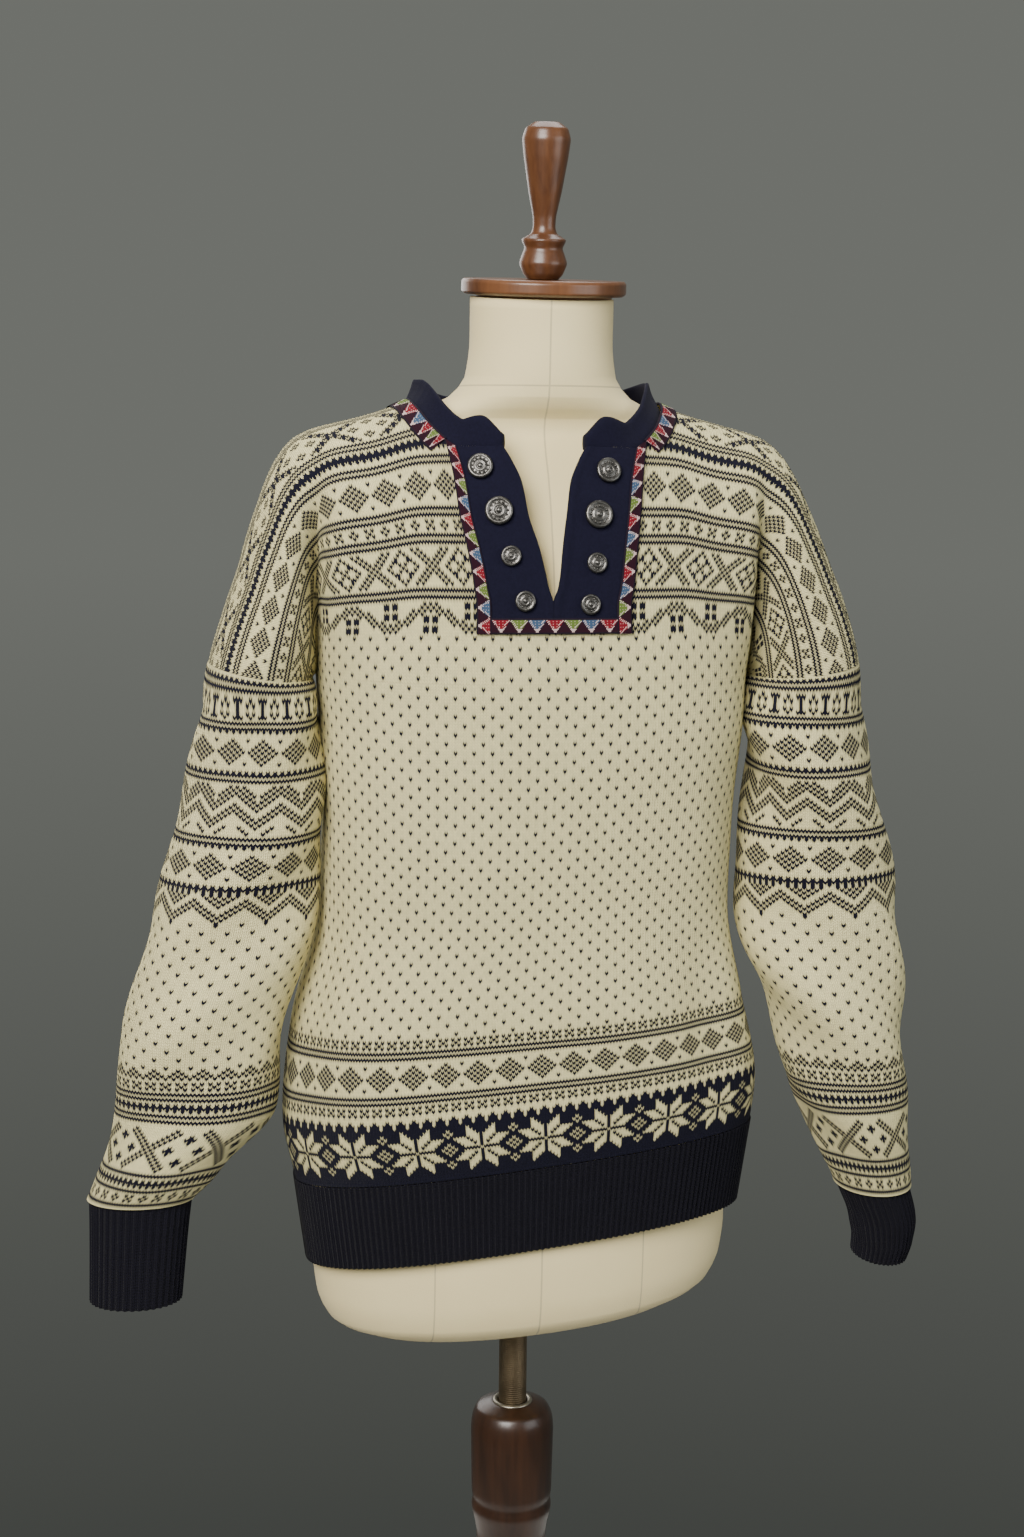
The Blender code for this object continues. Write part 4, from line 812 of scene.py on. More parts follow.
def checker_edge(x, y):
    return (np.abs(centred(x, 6)) <= y) & ((x + y) % 2 == 0)


def sleeve_cross(x, y):
    dx, ex, dy = centred(x, 20), centred(x, 20, 10), y - 7
    dark = (np.abs(np.abs(dx) - np.abs(dy)) <= 1) & ((dx + dy) % 2 != 0) & (np.abs(dx) <= 7)
    for cx, cy in ((0, -4), (0, 4), (-4, 0), (4, 0)):
        dark = dark | (np.abs(ex - cx) + np.abs(dy - cy) <= 1)
    return dark


Band = namedtuple("Band", "height test")
DOUBLE = ((1, gap), (3, line), (1, gap))
SINGLE = ((1, gap), (1, solid), (1, gap))
YOKE_BANDS = table_of(
    Band, (2, gap), (3, chain), *DOUBLE, (13, big_cross), *DOUBLE, (5, teeth), *DOUBLE, (11, diamonds),
    *DOUBLE, (3, crosses_and_flowers), *DOUBLE, (11, lattice), *DOUBLE, (9, vine), (1, gap))
HEM_BANDS = table_of(
    Band, (3, little_crosses), *DOUBLE, (11, diamonds), *DOUBLE, (3, little_crosses), (2, gap),
    (3, navy_teeth), (19, star), (2, solid))
SLEEVE_BANDS = table_of(
    Band, (4, gap), (1, tooth_row), (1, solid), *SINGLE, (5, hourglass), *SINGLE, (1, solid), (1, tooth_row),
    (1, gap), (11, diamonds), (1, gap), (1, tooth_row), (1, solid), *SINGLE, (17, zigzag), *SINGLE,
    (1, solid), (1, tooth_row), (1, gap), (11, diamonds), (1, gap), (3, small_teeth),
    (11, hanging_triangles), (52, lice), (4, checker_edge), (1, gap), (3, little_crosses), *DOUBLE,
    (3, small_teeth), (1, gap), (3, line), (2, gap), (15, sleeve_cross), *SINGLE, (3, small_teeth), *SINGLE,
    (3, crosses_and_flowers), *SINGLE)


def chart(bands, x):
    """Rows of dark and light stitches, from the top down."""
    return np.array([np.asarray(band.test(x, np.full_like(x, y)), dtype=bool)
                     for band in bands for y in range(band.height)])


def lice_rows(x, first, count):
    """Dotted rows, counted down from the vine band."""
    return lice(x[None, :], np.arange(first, first + count)[:, None])


def stitch_colours(dark):
    """Yarn colours for the legs of each stitch: dark yarn swells over the light yarn beside it."""
    rng = np.random.default_rng(YARN_SEED)
    twice = np.repeat(dark, 2, axis=1)
    shade = 1.0 + YARN_VARIATION * (rng.random(dark.shape) - 0.5)
    shade = np.repeat(shade, 2, axis=1)[..., None, None]
    near = np.pad(twice, 1, mode="edge")
    left, right, low, high = near[1:-1, :-2], near[1:-1, 2:], near[:-2, 1:-1], near[2:, 1:-1]
    touched = np.stack((left | low, right | low, right | high, left | high), axis=-1)
    depth = np.where(twice[..., None], 1.0, touched * SPREAD)[..., None]
    return (np.array(CREAM) * (1.0 - depth) + np.array(NAVY) * depth) * shade


def set_ramp(ramp, *stops):
    """Positions and colours of a colour ramp."""
    for element, (position, colour) in zip(ramp.color_ramp.elements, stops):
        element.position = position
        element.color = (*colour, 1.0)


class Look:
    """A material, with short calls that add nodes to it and join them."""

    def __init__(self, name, roughness, metallic=0.0, sheen=0.0, gloss=0.5):
        self.material = bpy.data.materials.new(name)
        self.material.use_nodes = True
        self.tree = self.material.node_tree
        self.inputs = self.tree.nodes["Principled BSDF"].inputs
        self.inputs["Roughness"].default_value = roughness
        self.inputs["Metallic"].default_value = metallic
        self.inputs["Sheen Weight"].default_value = sheen
        self.inputs["Specular IOR Level"].default_value = gloss

    def node(self, kind):
        return self.tree.nodes.new("ShaderNode" + kind)

    def put(self, socket, value):
        """Gives a socket a number, a colour or another node's output."""
        if isinstance(value, (int, float)):
            socket.default_value = value
        elif isinstance(value, tuple):
            socket.default_value = (*value, 1.0)
        else:
            self.tree.links.new(value, socket)

    def colour(self, value):
        self.put(self.inputs["Base Color"], value)

    def maths(self, operation, *values):
        node = self.node("Math")
        node.operation = operation
        for socket, value in zip(node.inputs, values):
            self.put(socket, value)
        return node.outputs[0]

    def times(self, a, b):
        return self.maths("MULTIPLY", a, b)

    def mix(self, factor, a, b, blend="MIX"):
        node = self.node("Mix")
        node.data_type = "RGBA"
        node.blend_type = blend
        for socket, value in ((0, factor), (6, a), (7, b)):
            self.put(node.inputs[socket], value)
        return node.outputs[2]

    def place(self):
        return self.node("TexCoord").outputs["Object"]

    def split(self, value):
        node = self.node("SeparateXYZ")
        self.put(node.inputs[0], value)
        return node.outputs

    def noise(self, scale, detail=3.0, stretch=None):
        place = self.place()
        if stretch:
            mapping = self.node("Mapping")
            mapping.inputs["Scale"].default_value = stretch
            self.put(mapping.inputs["Vector"], place)
            place = mapping.outputs["Vector"]
        node = self.node("TexNoise")
        for name, value in (("Scale", scale), ("Detail", detail), ("Vector", place)):
            self.put(node.inputs[name], value)
        return node.outputs[0]

    def ranged(self, value, low, high):
        node = self.node("MapRange")
        for name, number in (("To Min", low), ("To Max", high), ("Value", value)):
            self.put(node.inputs[name], number)
        return node.outputs[0]

    def chart(self):
        node = self.node("Attribute")
        node.attribute_name = "chart"
        return node.outputs["Color"]

    def stitches(self):
        """Rounded legs of yarn, from the stitch coordinates."""
        uv = self.node("UVMap")
        uv.uv_map = "stitch"
        across, up, _ = self.split(uv.outputs[0])
        leg = self.maths("SINE", self.times(self.maths("FRACT", self.times(across, 2.0)), math.pi))
        loop = self.maths("SINE", self.times(self.maths("FRACT", up), math.pi))
        return self.times(self.maths("POWER", leg, LEG_ROUND), self.maths("POWER", loop, LOOP_ROUND))

    def bump(self, height, strength, distance):
        node = self.node("Bump")
        for name, value in (("Strength", strength), ("Distance", distance), ("Height", height)):
            self.put(node.inputs[name], value)
        self.put(self.inputs["Normal"], node.outputs[0])


# Shader values: bump strength and distance, noise scales, and how far a colour varies
LEG_ROUND = 0.6
LOOP_ROUND = 0.35
WOOL_ROUGH = 0.95
KNIT_BUMP = (0.9, 0.0009)
KNIT_CLOUDS = (9.0, 0.94, 1.06)
# The knit's colour at the bottom of the grooves between stitch legs, as a share of its full colour: painted
# shade
KNIT_GROOVE_SHADE = 0.80
FUZZ_SCALE = 1500.0
FUZZ_SHARE = 0.35
RIB_GRAIN = 60.0
RIB_LIGHTER = 1.5
CLOTH_GRAIN = 500.0
CLOTH_FIBRE = 1400.0
CLOTH_LIGHTER = 2.2
CLOTH_BUMP = (0.5, 0.0005)
RIBBON_BUMP = (0.8, 0.0003)
LINEN_CLOUDS = 14.0
LINEN_GRAIN = 1100.0
LINEN_SHADES = ((0.75, 0.62, 0.325), (0.85, 0.73, 0.40))
LINEN_SEAM = (0.36, 0.30, 0.20)
LINEN_BUMP = (0.35, 0.0006)
SEAM_DEPTH = 0.55
SEAM_WIDTH = 0.0006
CENTRE_SEAM_WIDTH = 0.0007
FORM_FRONT_Y = -0.02
SIDE_SEAM_X = 0.088
NECK_SEAM_Z = FORM_BOTTOM + 0.797
WOOD_GRAIN = 30.0
WOOD_FIBRE = 220.0
WOOD_STRETCH = (1.0, 1.0, 0.12)
WOOD_BUMP = (0.15, 0.0005)
WOOD_COAT = 0.25
METAL_BUMP = (0.35, 0.0006)
RING_SCALE = 160.0


def lighter(colour, by):
    return tuple(value * by for value in colour)


def knit_material(name, plain=None):
    look = Look(name, WOOL_ROUGH, sheen=0.03, gloss=0.15)
    height = look.stitches()
    if plain is None:
        base = look.chart()
    else:
        base = look.mix(look.noise(RIB_GRAIN), plain, lighter(plain, RIB_LIGHTER))
    scale, low, high = KNIT_CLOUDS
    cloudy = look.ranged(look.noise(scale), low, high)
    # Painted shade: the base colour darkens in the grooves between the stitch legs, times a cloudy random
    # tone
    shade = look.times(cloudy, look.ranged(height, KNIT_GROOVE_SHADE, 1.0))
    tone_and_groove_shade = look.node("CombineColor")
    for socket in tone_and_groove_shade.inputs:
        look.put(socket, shade)
    look.colour(look.mix(1.0, base, tone_and_groove_shade.outputs[0], "MULTIPLY"))
    fuzz = look.times(look.noise(FUZZ_SCALE), FUZZ_SHARE)
    look.bump(look.maths("ADD", height, fuzz), *KNIT_BUMP)
    return look.material


def cloth_material(name, colour):
    look = Look(name, WOOL_ROUGH, sheen=0.02, gloss=0.12)
    look.colour(look.mix(look.noise(CLOTH_GRAIN), colour, lighter(colour, CLOTH_LIGHTER)))
    look.bump(look.noise(CLOTH_FIBRE, 4.0), *CLOTH_BUMP)
    return look.material


def ribbon_material():
    look = Look("woven_ribbon_thread", 0.80, gloss=0.15)
    look.colour(look.chart())
    look.bump(look.stitches(), *RIBBON_BUMP)
    return look.material


def linen_material():
    """Stretched linen with seams at the front's centre, the sides and the neck."""
    look = Look("form_linen_weave", 0.88, sheen=0.08)
    x, y, z = look.split(look.place())
    mottled = look.mix(look.noise(LINEN_CLOUDS, 5.0), *LINEN_SHADES)
    front = look.maths("LESS_THAN", y, FORM_FRONT_Y)
    centre = look.maths("COMPARE", x, 0.0, CENTRE_SEAM_WIDTH)
    sides = look.maths("COMPARE", look.maths("ABSOLUTE", x), SIDE_SEAM_X, SEAM_WIDTH)
    ring = look.maths("COMPARE", z, NECK_SEAM_Z, SEAM_WIDTH)
    seams = look.maths("MAXIMUM", look.maths("MAXIMUM", look.times(centre, front), sides), ring)
    look.colour(look.mix(look.times(seams, SEAM_DEPTH), mottled, LINEN_SEAM))
    look.bump(look.maths("SUBTRACT", look.noise(LINEN_GRAIN, 2.0), seams), *LINEN_BUMP)
    return look.material


def wood_material(name, dark, light):
    look = Look(name, 0.36)
    look.inputs["Coat Weight"].default_value = WOOD_COAT
    look.inputs["Coat Roughness"].default_value = WOOD_COAT
    grain = look.noise(WOOD_GRAIN, 6.0, WOOD_STRETCH)
    fine = look.noise(WOOD_FIBRE, 4.0, WOOD_STRETCH)
    ramp = look.node("ValToRGB")
    set_ramp(ramp, (0.35, dark), (0.65, light))
    look.put(ramp.inputs[0], look.maths("ADD", look.times(grain, 0.7), look.times(fine, 0.3)))
    look.colour(ramp.outputs[0])
    look.bump(fine, *WOOD_BUMP)
    return look.material


def metal_material(name, dark, light, roughness, scale, ringed=False):
    look = Look(name, roughness, metallic=0.9)
    worn = look.noise(scale, 5.0)
    look.colour(look.mix(worn, dark, light))
    height = worn
    if ringed:
        wave = look.node("TexWave")
        wave.bands_direction = "Z"
        wave.inputs["Scale"].default_value = RING_SCALE
        look.put(wave.inputs["Vector"], look.place())
        height = wave.outputs["Fac"]
    look.bump(height, *METAL_BUMP)
    return look.material


def dress(obj, material, slot, body, *nodes):
    """Gives a piece its material, ties it to the frame, and hides the parts named by nodes."""
    obj.data.materials.clear()
    obj.data.materials.append(material)
    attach(obj, body)
    if nodes:
        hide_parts(*nodes)
    return obj


def sample(grid, column, share):
    """Points of a yoke grid at any column in stitches and share of the way up."""
    a = np.clip(np.asarray(share) * YOKE_ROWS, 0.0, YOKE_ROWS - 0.001)
    b = np.clip(np.asarray(column) * 2.0, 0.0, grid.shape[1] - 1.001)
    i, k = a.astype(int), b.astype(int)
    fa, fb = (a - i)[..., None], (b - k)[..., None]
    low = grid[i, k] * (1 - fb) + grid[i, k + 1] * fb
    high = grid[i + 1, k] * (1 - fb) + grid[i + 1, k + 1] * fb
    return low * (1 - fa) + high * fa


def knit_pieces(wool, grids):
    for word, front in (("front", True), ("back", False)):
        grid = lower_grid(front)
        normals = outward(grid, (0.0, BODY_MIDDLE_Y, grid[len(grid) // 2, 0, 2]))
        x = np.arange(-SIDE_SEAM, SIDE_SEAM)
        dark = np.concatenate((lice_rows(x, YOKE_LICE + 3, LICE_ROWS), chart(HEM_BANDS, x)))[::-1]
        obj = grid_mesh(word + "_body_knit", vee(grid, normals, high=True), stitch_colours(dark),
                        flip=not front)
        dress(obj, wool, "cream_wool", "form", "body_" + word)
        neck = FRONT_NECK if front else BACK_NECK
        for side, hand in ((-1, "left"), (1, "right")):
            grid, normals = grids[(front, side)]
            x = np.arange(SLEEVE_SEAM) if side > 0 else -1 - np.arange(SLEEVE_SEAM)
            dark = np.concatenate((chart(YOKE_BANDS, x), lice_rows(x, 3, YOKE_LICE)))[::-1]
            tops = table_curve(neck, "share", np.arange(2 * SLEEVE_SEAM) / 2.0 + 0.25)
            levels = (np.arange(YOKE_ROWS) + 0.5) / YOKE_ROWS
            keep = levels[:, None] < tops[None, :] - NECK_MARGIN
            obj = grid_mesh("%s_yoke_knit_%s" % (word, hand), vee(grid, normals, low=True),
                            stitch_colours(dark), keep, flip=(side < 0) == front)
            dress(obj, wool, "cream_wool", "form", "body_" + word)


def sleeve_grid(table, side, reach, half_columns, count):
    """Rings of a sleeve from its seam to the cuff, in half stitches round the arm."""
    start, across, half_width, half_depth = seam_ring(reach)
    seam, top = start[2] - FORM_BOTTOM, table[0].height
    twist = BODY_RINGS[-1].centre - ARM_Y
    start = start + np.array((math.cos(ARM_SWING), 0.0, -math.sin(ARM_SWING))) * SEAM_GAP
    angle = full_turn(half_columns) + math.pi
    rings = []
    for height in np.linspace(seam, table[-1].height, count + 1):
        share = float(ease((seam - height) / (seam - top))) if height > top else 1.0
        row = ring_frame(table, [min(height, top)])[0]
        mixed = unit(across * (1.0 - share) + np.array((1.0, 0.0, 0.0)) * share)
        middle = np.array((row.x, row.y, FORM_BOTTOM + height))
        middle = start if height == seam else start * (1.0 - share) + middle * share
        width = half_width * (1.0 - share) + row.half_width * share
        depth = half_depth * (1.0 - share) + row.half_depth * share
        back = twist * (1.0 - share) * (1.0 - np.cos(angle)) / 2.0 - depth * np.sin(angle)
        ring = middle + mixed * (width * np.cos(angle))[:, None] + Y_AXIS * back[:, None]
        rings.append(ring * np.array((side, 1.0, 1.0)))
    return np.array(rings)


def sleeve_pieces(wool, rib):
    for word, side, table, cuff, reach in (
            ("left", -1, LEFT_SLEEVE, LEFT_CUFF, LEFT_ARM_REACH[-1].reach),
            ("right", 1, RIGHT_SLEEVE, RIGHT_CUFF, RIGHT_ARM_REACH[-1].reach)):
        dark = chart(SLEEVE_BANDS, np.arange(SLEEVE_STITCHES))
        grid = sleeve_grid(table, side, reach, SLEEVE_STITCHES * 2, len(dark))
        normals = ring_normals(grid)
        t = np.linspace(0.0, 1.0, len(dark) + 1)
        rng = np.random.default_rng(SLEEVE_SEEDS[side])
        folds = waves(SLEEVE_WAVES, rng, lambda: rng.integers(*SLEEVE_WAVE_TURNS),
                      full_turn(SLEEVE_STITCHES * 2), t)
        folds *= (ease(t / SLEEVE_CALM[0]) * ease((1.0 - t) / SLEEVE_CALM[1]))[:, None]
        grid = (grid + normals * folds[..., None])[::-1]
        obj = grid_mesh("sleeve_knit_" + word, vee(grid, normals[::-1]), stitch_colours(dark[::-1]),
                        closed=True, flip=side < 0)
        dress(obj, wool, "cream_wool", "form", "sleeve_" + word)
        heights = np.linspace(cuff[0].height - SEAM_GAP, cuff[-1].height, CUFF_ROWS)
        rings = np.array([cuff_ring(row, side, CUFF_STITCHES * 2) for row in ring_frame(cuff, heights)])
        obj = rib_piece("cuff_knit_" + word, rings, rib, "cuff_" + word, side < 0)


def rib_piece(name, rings, rib, node, flip):
    """A ribbed edge, whose last rows turn in to show the thickness of the knit."""
    normals = ring_normals(rings)
    ridge = np.cos(TWO_PI * np.arange(rings.shape[1]) / RIB_PERIOD) * RIB_DEPTH
    outer = rings + normals * (OUT + ridge)[None, :, None]
    last, n = outer[-1], normals[-1]
    inside = last - n * WALL * 1.4
    turned = np.array((last - n * WALL * 0.5 - Z_AXIS * RIB_DROP, inside, inside + Z_AXIS * RIB_RETURN))
    obj = grid_mesh(name, np.concatenate((outer, turned)), closed=True, flip=not flip)
    return dress(obj, rib, "navy_rib", "form", node)


def hem_piece(rib):
    front, back = lower_grid(True)[0], lower_grid(False)[0]
    loop = np.concatenate((front[:-1], back[:0:-1]))
    top, foot = table_ring(BODY_RINGS, RIB_LINE), table_ring(BODY_RINGS, HEM_LINE)
    rings = []
    for share in np.linspace(0.0, 1.0, HEM_ROWS):
        ring = loop.copy()
        ring[:, 0] *= 1.0 + (foot.half_width / top.half_width - 1.0) * share
        ring[:, 1] = top.centre + (ring[:, 1] - top.centre) * (1.0 + (foot.front / top.front - 1.0) * share)
        ring[:, 2] -= (RIB_LINE - HEM_LINE) * share + SEAM_GAP
        rings.append(ring)
    obj = rib_piece("hem_knit", np.array(rings), rib, "hem_rib", False)


def ribbon_colours(order, cells):
    """The ribbon's chart: triangles with their base on the inner side and a pale outline."""
    white = np.array(THREAD_WHITE)
    i, j = np.arange(cells)[None, :], np.arange(ACROSS_CELLS)[:, None]
    u, v = i / PITCH_CELLS, (j + 0.5) / ACROSS_CELLS
    phase = np.abs(u - np.floor(u) - 0.5)
    height = (v - 0.10) / 0.78
    half = 0.46 * (1.0 - np.clip(height, 0.0, 1.0)) + 0.05
    inside = (phase < half) & (height > 0.0) & (height < 1.0)
    rim = inside & (phase > half - 0.14)
    which = np.array([order[int(k) % len(order)] for k in np.floor(u[0])])
    colours = np.where(inside[..., None], which[None, :, :], np.array(RIBBON_GROUND))
    colours = np.where((rim & ((i + j) % 3 == 0))[..., None], white, colours)
    tip = inside & (height > 0.72)
    colours = np.where(tip[..., None], white * 0.8 + np.array(RED) * 0.2, colours)
    weft = inside & ~rim & (i % 4 == 0) & (j % 3 == 0)
    colours = np.where(weft[..., None], colours * 0.5 + white * 0.5, colours)
    edge = np.broadcast_to((v < 0.10) | (v > 0.90), inside.shape)
    return np.where(edge[..., None], np.array(RIBBON_EDGE), colours)


def ribbon_piece(name, node, edges, order, lift, material, flip):
    """A strip between an inner and an outer edge, with the normals of the cloth beneath."""
    middle = (edges[0] + edges[1]) / 2.0
    length = float(np.linalg.norm(np.diff(middle, axis=0), axis=1).sum())
    cells = max(1, round(length / RIBBON_PITCH)) * PITCH_CELLS
    travel, u = np.linspace(0.0, 1.0, len(middle)), np.linspace(0.0, 1.0, cells + 1)
    a, b, n = (np.stack([np.interp(u, travel, edge[:, k]) for k in range(3)], axis=-1) for edge in edges)
    v = np.linspace(0.0, 1.0, ACROSS_CELLS + 1)[:, None, None]
    grid = a[None] * (1.0 - v) + b[None] * v + n[None] * (lift - RIBBON_CROWN * (2.0 * v - 1.0) ** 4)
    skirt = n[None] * RIBBON_SKIRT
    grid = np.concatenate((grid[:1] - skirt, grid, grid[-1:] - skirt))
    edge = np.full((1, cells, 3), RIBBON_EDGE)
    colours = np.concatenate((edge, ribbon_colours(order, cells), edge))
    obj = grid_mesh(name, grid, colours, flip=flip)
    dress(obj, material, "woven_ribbon", "form", node)


def beside_neck(grid, normals, columns, shares):
    """The neckline's edge, a line one ribbon's width outside it, and the edge's normals."""
    inner, n = sample(grid, columns, shares), sample(normals, columns, shares)
    by_column = sample(grid, columns + 0.5, shares) - sample(grid, columns - 0.5, shares)
    by_share = (sample(grid, columns, shares - 0.02) - inner) / -0.02
    wanted = unit(np.cross(np.gradient(inner, axis=0), n))
    wanted = wanted * np.sign(wanted @ -Z_AXIS)[:, None]
    outer = []
    for k, way in enumerate(wanted):
        basis = np.stack((by_column[k], by_share[k]), axis=1)
        step = np.linalg.lstsq(basis, way * NECK_RIBBON, rcond=None)[0]
        outer.append(sample(grid, columns[k] + step[0], shares[k] + step[1]))
    return inner - wanted * TUCK, np.array(outer), n


def two_halves(left, right):
    """Joins the lines of two halves that both start at the centre."""
    return [np.concatenate((a[:0:-1], b)) for a, b in zip(left, right)]


def trim_pieces(grids, cloth, ribbon):
    low_lift = OVER_KNIT + RIBBON_WALL
    top_lift = OVER_KNIT + NAVY_WALL + SEAM_GAP + RIBBON_WALL
    down = np.linspace(0.0, 1.0, TRIM_STEPS)[::-1]
    neck_columns = np.linspace(RIBBON_OUTER, NECK_POINT, TRIM_STEPS)
    foot_columns = np.linspace(0.0, RIBBON_INNER, FOOT_STEPS)
    back_columns = np.linspace(0.0, NECK_POINT, TRIM_STEPS)
    feet, backs = [], []
    for side, word, order in ((-1, "left", LEFT_ORDER), (1, "right", RIGHT_ORDER)):
        grid, normals = grids[(True, side)]
        inner_column, outer_column = np.full(TRIM_STEPS, RIBBON_INNER), np.full(TRIM_STEPS, RIBBON_OUTER)
        tops = [float(table_curve(FRONT_NECK, "share", x)) for x in (RIBBON_INNER, RIBBON_OUTER)]
        inner_share, outer_share = (PLACKET_FOOT + (top - PLACKET_FOOT) * down for top in tops)
        edges = (sample(grid, inner_column, inner_share), sample(grid, outer_column, outer_share),
                 sample(normals, inner_column, inner_share))
        ribbon_piece("ribbon_weave_" + word, "ribbon_" + word, edges, order, top_lift, ribbon, side > 0)
        edges = beside_neck(grid, normals, neck_columns, table_curve(FRONT_NECK, "share", neck_columns))
        ribbon_piece("ribbon_neck_weave_" + word, "ribbon_neck_" + word, edges, (RED, GREEN, RED, BLUE),
                     low_lift, ribbon, side < 0)
        placket_piece(word, side, grid, normals, cloth)
        feet.append((sample(grid, foot_columns, np.full(FOOT_STEPS, RIBBON_TOP)),
                     sample(grid, foot_columns, np.full(FOOT_STEPS, PLACKET_FOOT)),
                     sample(normals, foot_columns, np.full(FOOT_STEPS, RIBBON_TOP))))
        backs.append(beside_neck(*grids[(False, side)], back_columns,
                                 table_curve(BACK_NECK, "share", back_columns)))
    ribbon_piece("ribbon_foot_weave", "ribbon_foot", two_halves(*feet),
                 (RED, GREEN, BLUE, RED, GREEN, BLUE, RED), top_lift, ribbon, True)
    ribbon_piece("ribbon_neck_weave_back", "ribbon_neck_back", two_halves(*backs), (RED, GREEN, BLUE),
                 low_lift, ribbon, False)


def placket_piece(word, side, grid, normals, cloth):
    """Navy cloth beside the slit, with a soft rolled edge."""
    columns = np.linspace(0.0, PLACKET_EDGE, PLACKET_COLUMNS)
    foot = PLACKET_FOOT + PLACKET_IN
    height = table_curve(FRONT_NECK, "share", columns) - foot
    roll = PLACKET_ROLL * np.exp(-((columns - 1.2) / 1.3) ** 2)
    lift = OVER_KNIT + NAVY_WALL + roll
    lines = []
    for f in np.linspace(0.0, 1.0, PLACKET_ROWS):
        p, n = (sample(values, columns, foot + height * f) for values in (grid, normals))
        first = p[:1] + n[:1] * (OUT * 0.4) + np.array((-side * 0.0005, 0.0, 0.0))
        lines.append(np.concatenate((first, p + n * lift[:, None], p[-1:] + n[-1:] * OUT)))
    obj = grid_mesh("placket_cloth_" + word, np.array(lines), flip=side < 0)
    dress(obj, cloth, "navy_cloth", "form", "placket_" + word)


def shrunk(ring, *shares):
    """Copies of a ring drawn in towards its middle."""
    middle = ring.mean(axis=0, keepdims=True)
    return np.array([middle + (ring - middle) * share for share in shares])


def collar_piece(grids, cloth):
    """A soft rolled collar that follows the neckline."""
    def edge(front, side, columns):
        neck = FRONT_NECK if front else BACK_NECK
        return sample(grids[(front, side)][0], columns, table_curve(neck, "share", columns))

    steps = np.linspace(0.0, NECK_POINT, COLLAR_STEPS)
    path = np.concatenate((edge(True, -1, steps)[:-1], edge(False, -1, steps[::-1]),
                           edge(False, 1, steps[1:]), edge(True, 1, steps[::-1])[1:]))
    length = path_length(path)
    even = np.linspace(0.0, length, COLLAR_ROWS)
    path = along(path, even)[0]
    share = 1.0 - np.abs(2.0 * even / length - 1.0)
    rise = table_curve(COLLAR_LINE, "rise", share)
    lean = table_curve(COLLAR_LINE, "lean", share)
    out = path - np.array((0.0, NECK_CENTRE_Y, 0.0))
    out[:, 2] = 0.0
    out = unit(out)
    half = COLLAR_HALF + COLLAR_WOBBLE * np.sin(9.0 * share + 1.0)
    rings = []
    for phi in full_turn(COLLAR_SIDES):
        up = 0.5 + 0.5 * signed_power(np.sin(phi), COLLAR_ROUND)
        wide = half * signed_power(np.cos(phi), COLLAR_ROUND)
        shift = wide - COLLAR_INWARD - lean * np.sin(up * math.pi / 2.0)
        lift = (rise + COLLAR_OVER) * up - COLLAR_UNDER
        rings.append(path + out * shift[:, None] + Z_AXIS * lift[:, None])
    grid = np.array(rings).transpose(1, 0, 2)
    grid = np.concatenate((shrunk(grid[0], 0.05), grid, shrunk(grid[-1], 0.05)))
    obj = grid_mesh("collar_cloth", grid, closed=True)
    dress(obj, cloth, "navy_cloth", "form", "collar")


def lathe_grid(profile, foot, sides, steps):
    """Points of a turned shape with its profile rounded through the table's sizes."""
    z = np.array([turn.height for turn in profile])
    r = np.array([turn.radius for turn in profile])
    travel = np.concatenate(((0.0,), np.cumsum(np.hypot(np.diff(z), np.diff(r)))))
    fine = np.linspace(0.0, travel[-1], steps)
    z, r = np.interp(fine, travel, z), np.interp(fine, travel, r)
    for _ in range(2):
        r[1:-1] = np.convolve(r, (0.25, 0.5, 0.25), "valid")
    r = np.concatenate(((TINY,), r, (TINY,)))
    z = np.concatenate((z[:1], z, z[-1:]))
    return circles(r, z + foot, full_turn(sides))


def nodded(grid, x):
    """Sets a turned piece on the form's neck, square to its sloping top."""
    c, s = math.cos(NECK_TILT), math.sin(NECK_TILT)
    y, z = grid[..., 1] * c - grid[..., 2] * s, grid[..., 1] * s + grid[..., 2] * c
    top = FORM_BOTTOM + FORM_LEVELS[-1]
    return np.stack((grid[..., 0] + x, y + CAP_CENTRE_Y, z + top), axis=-1)


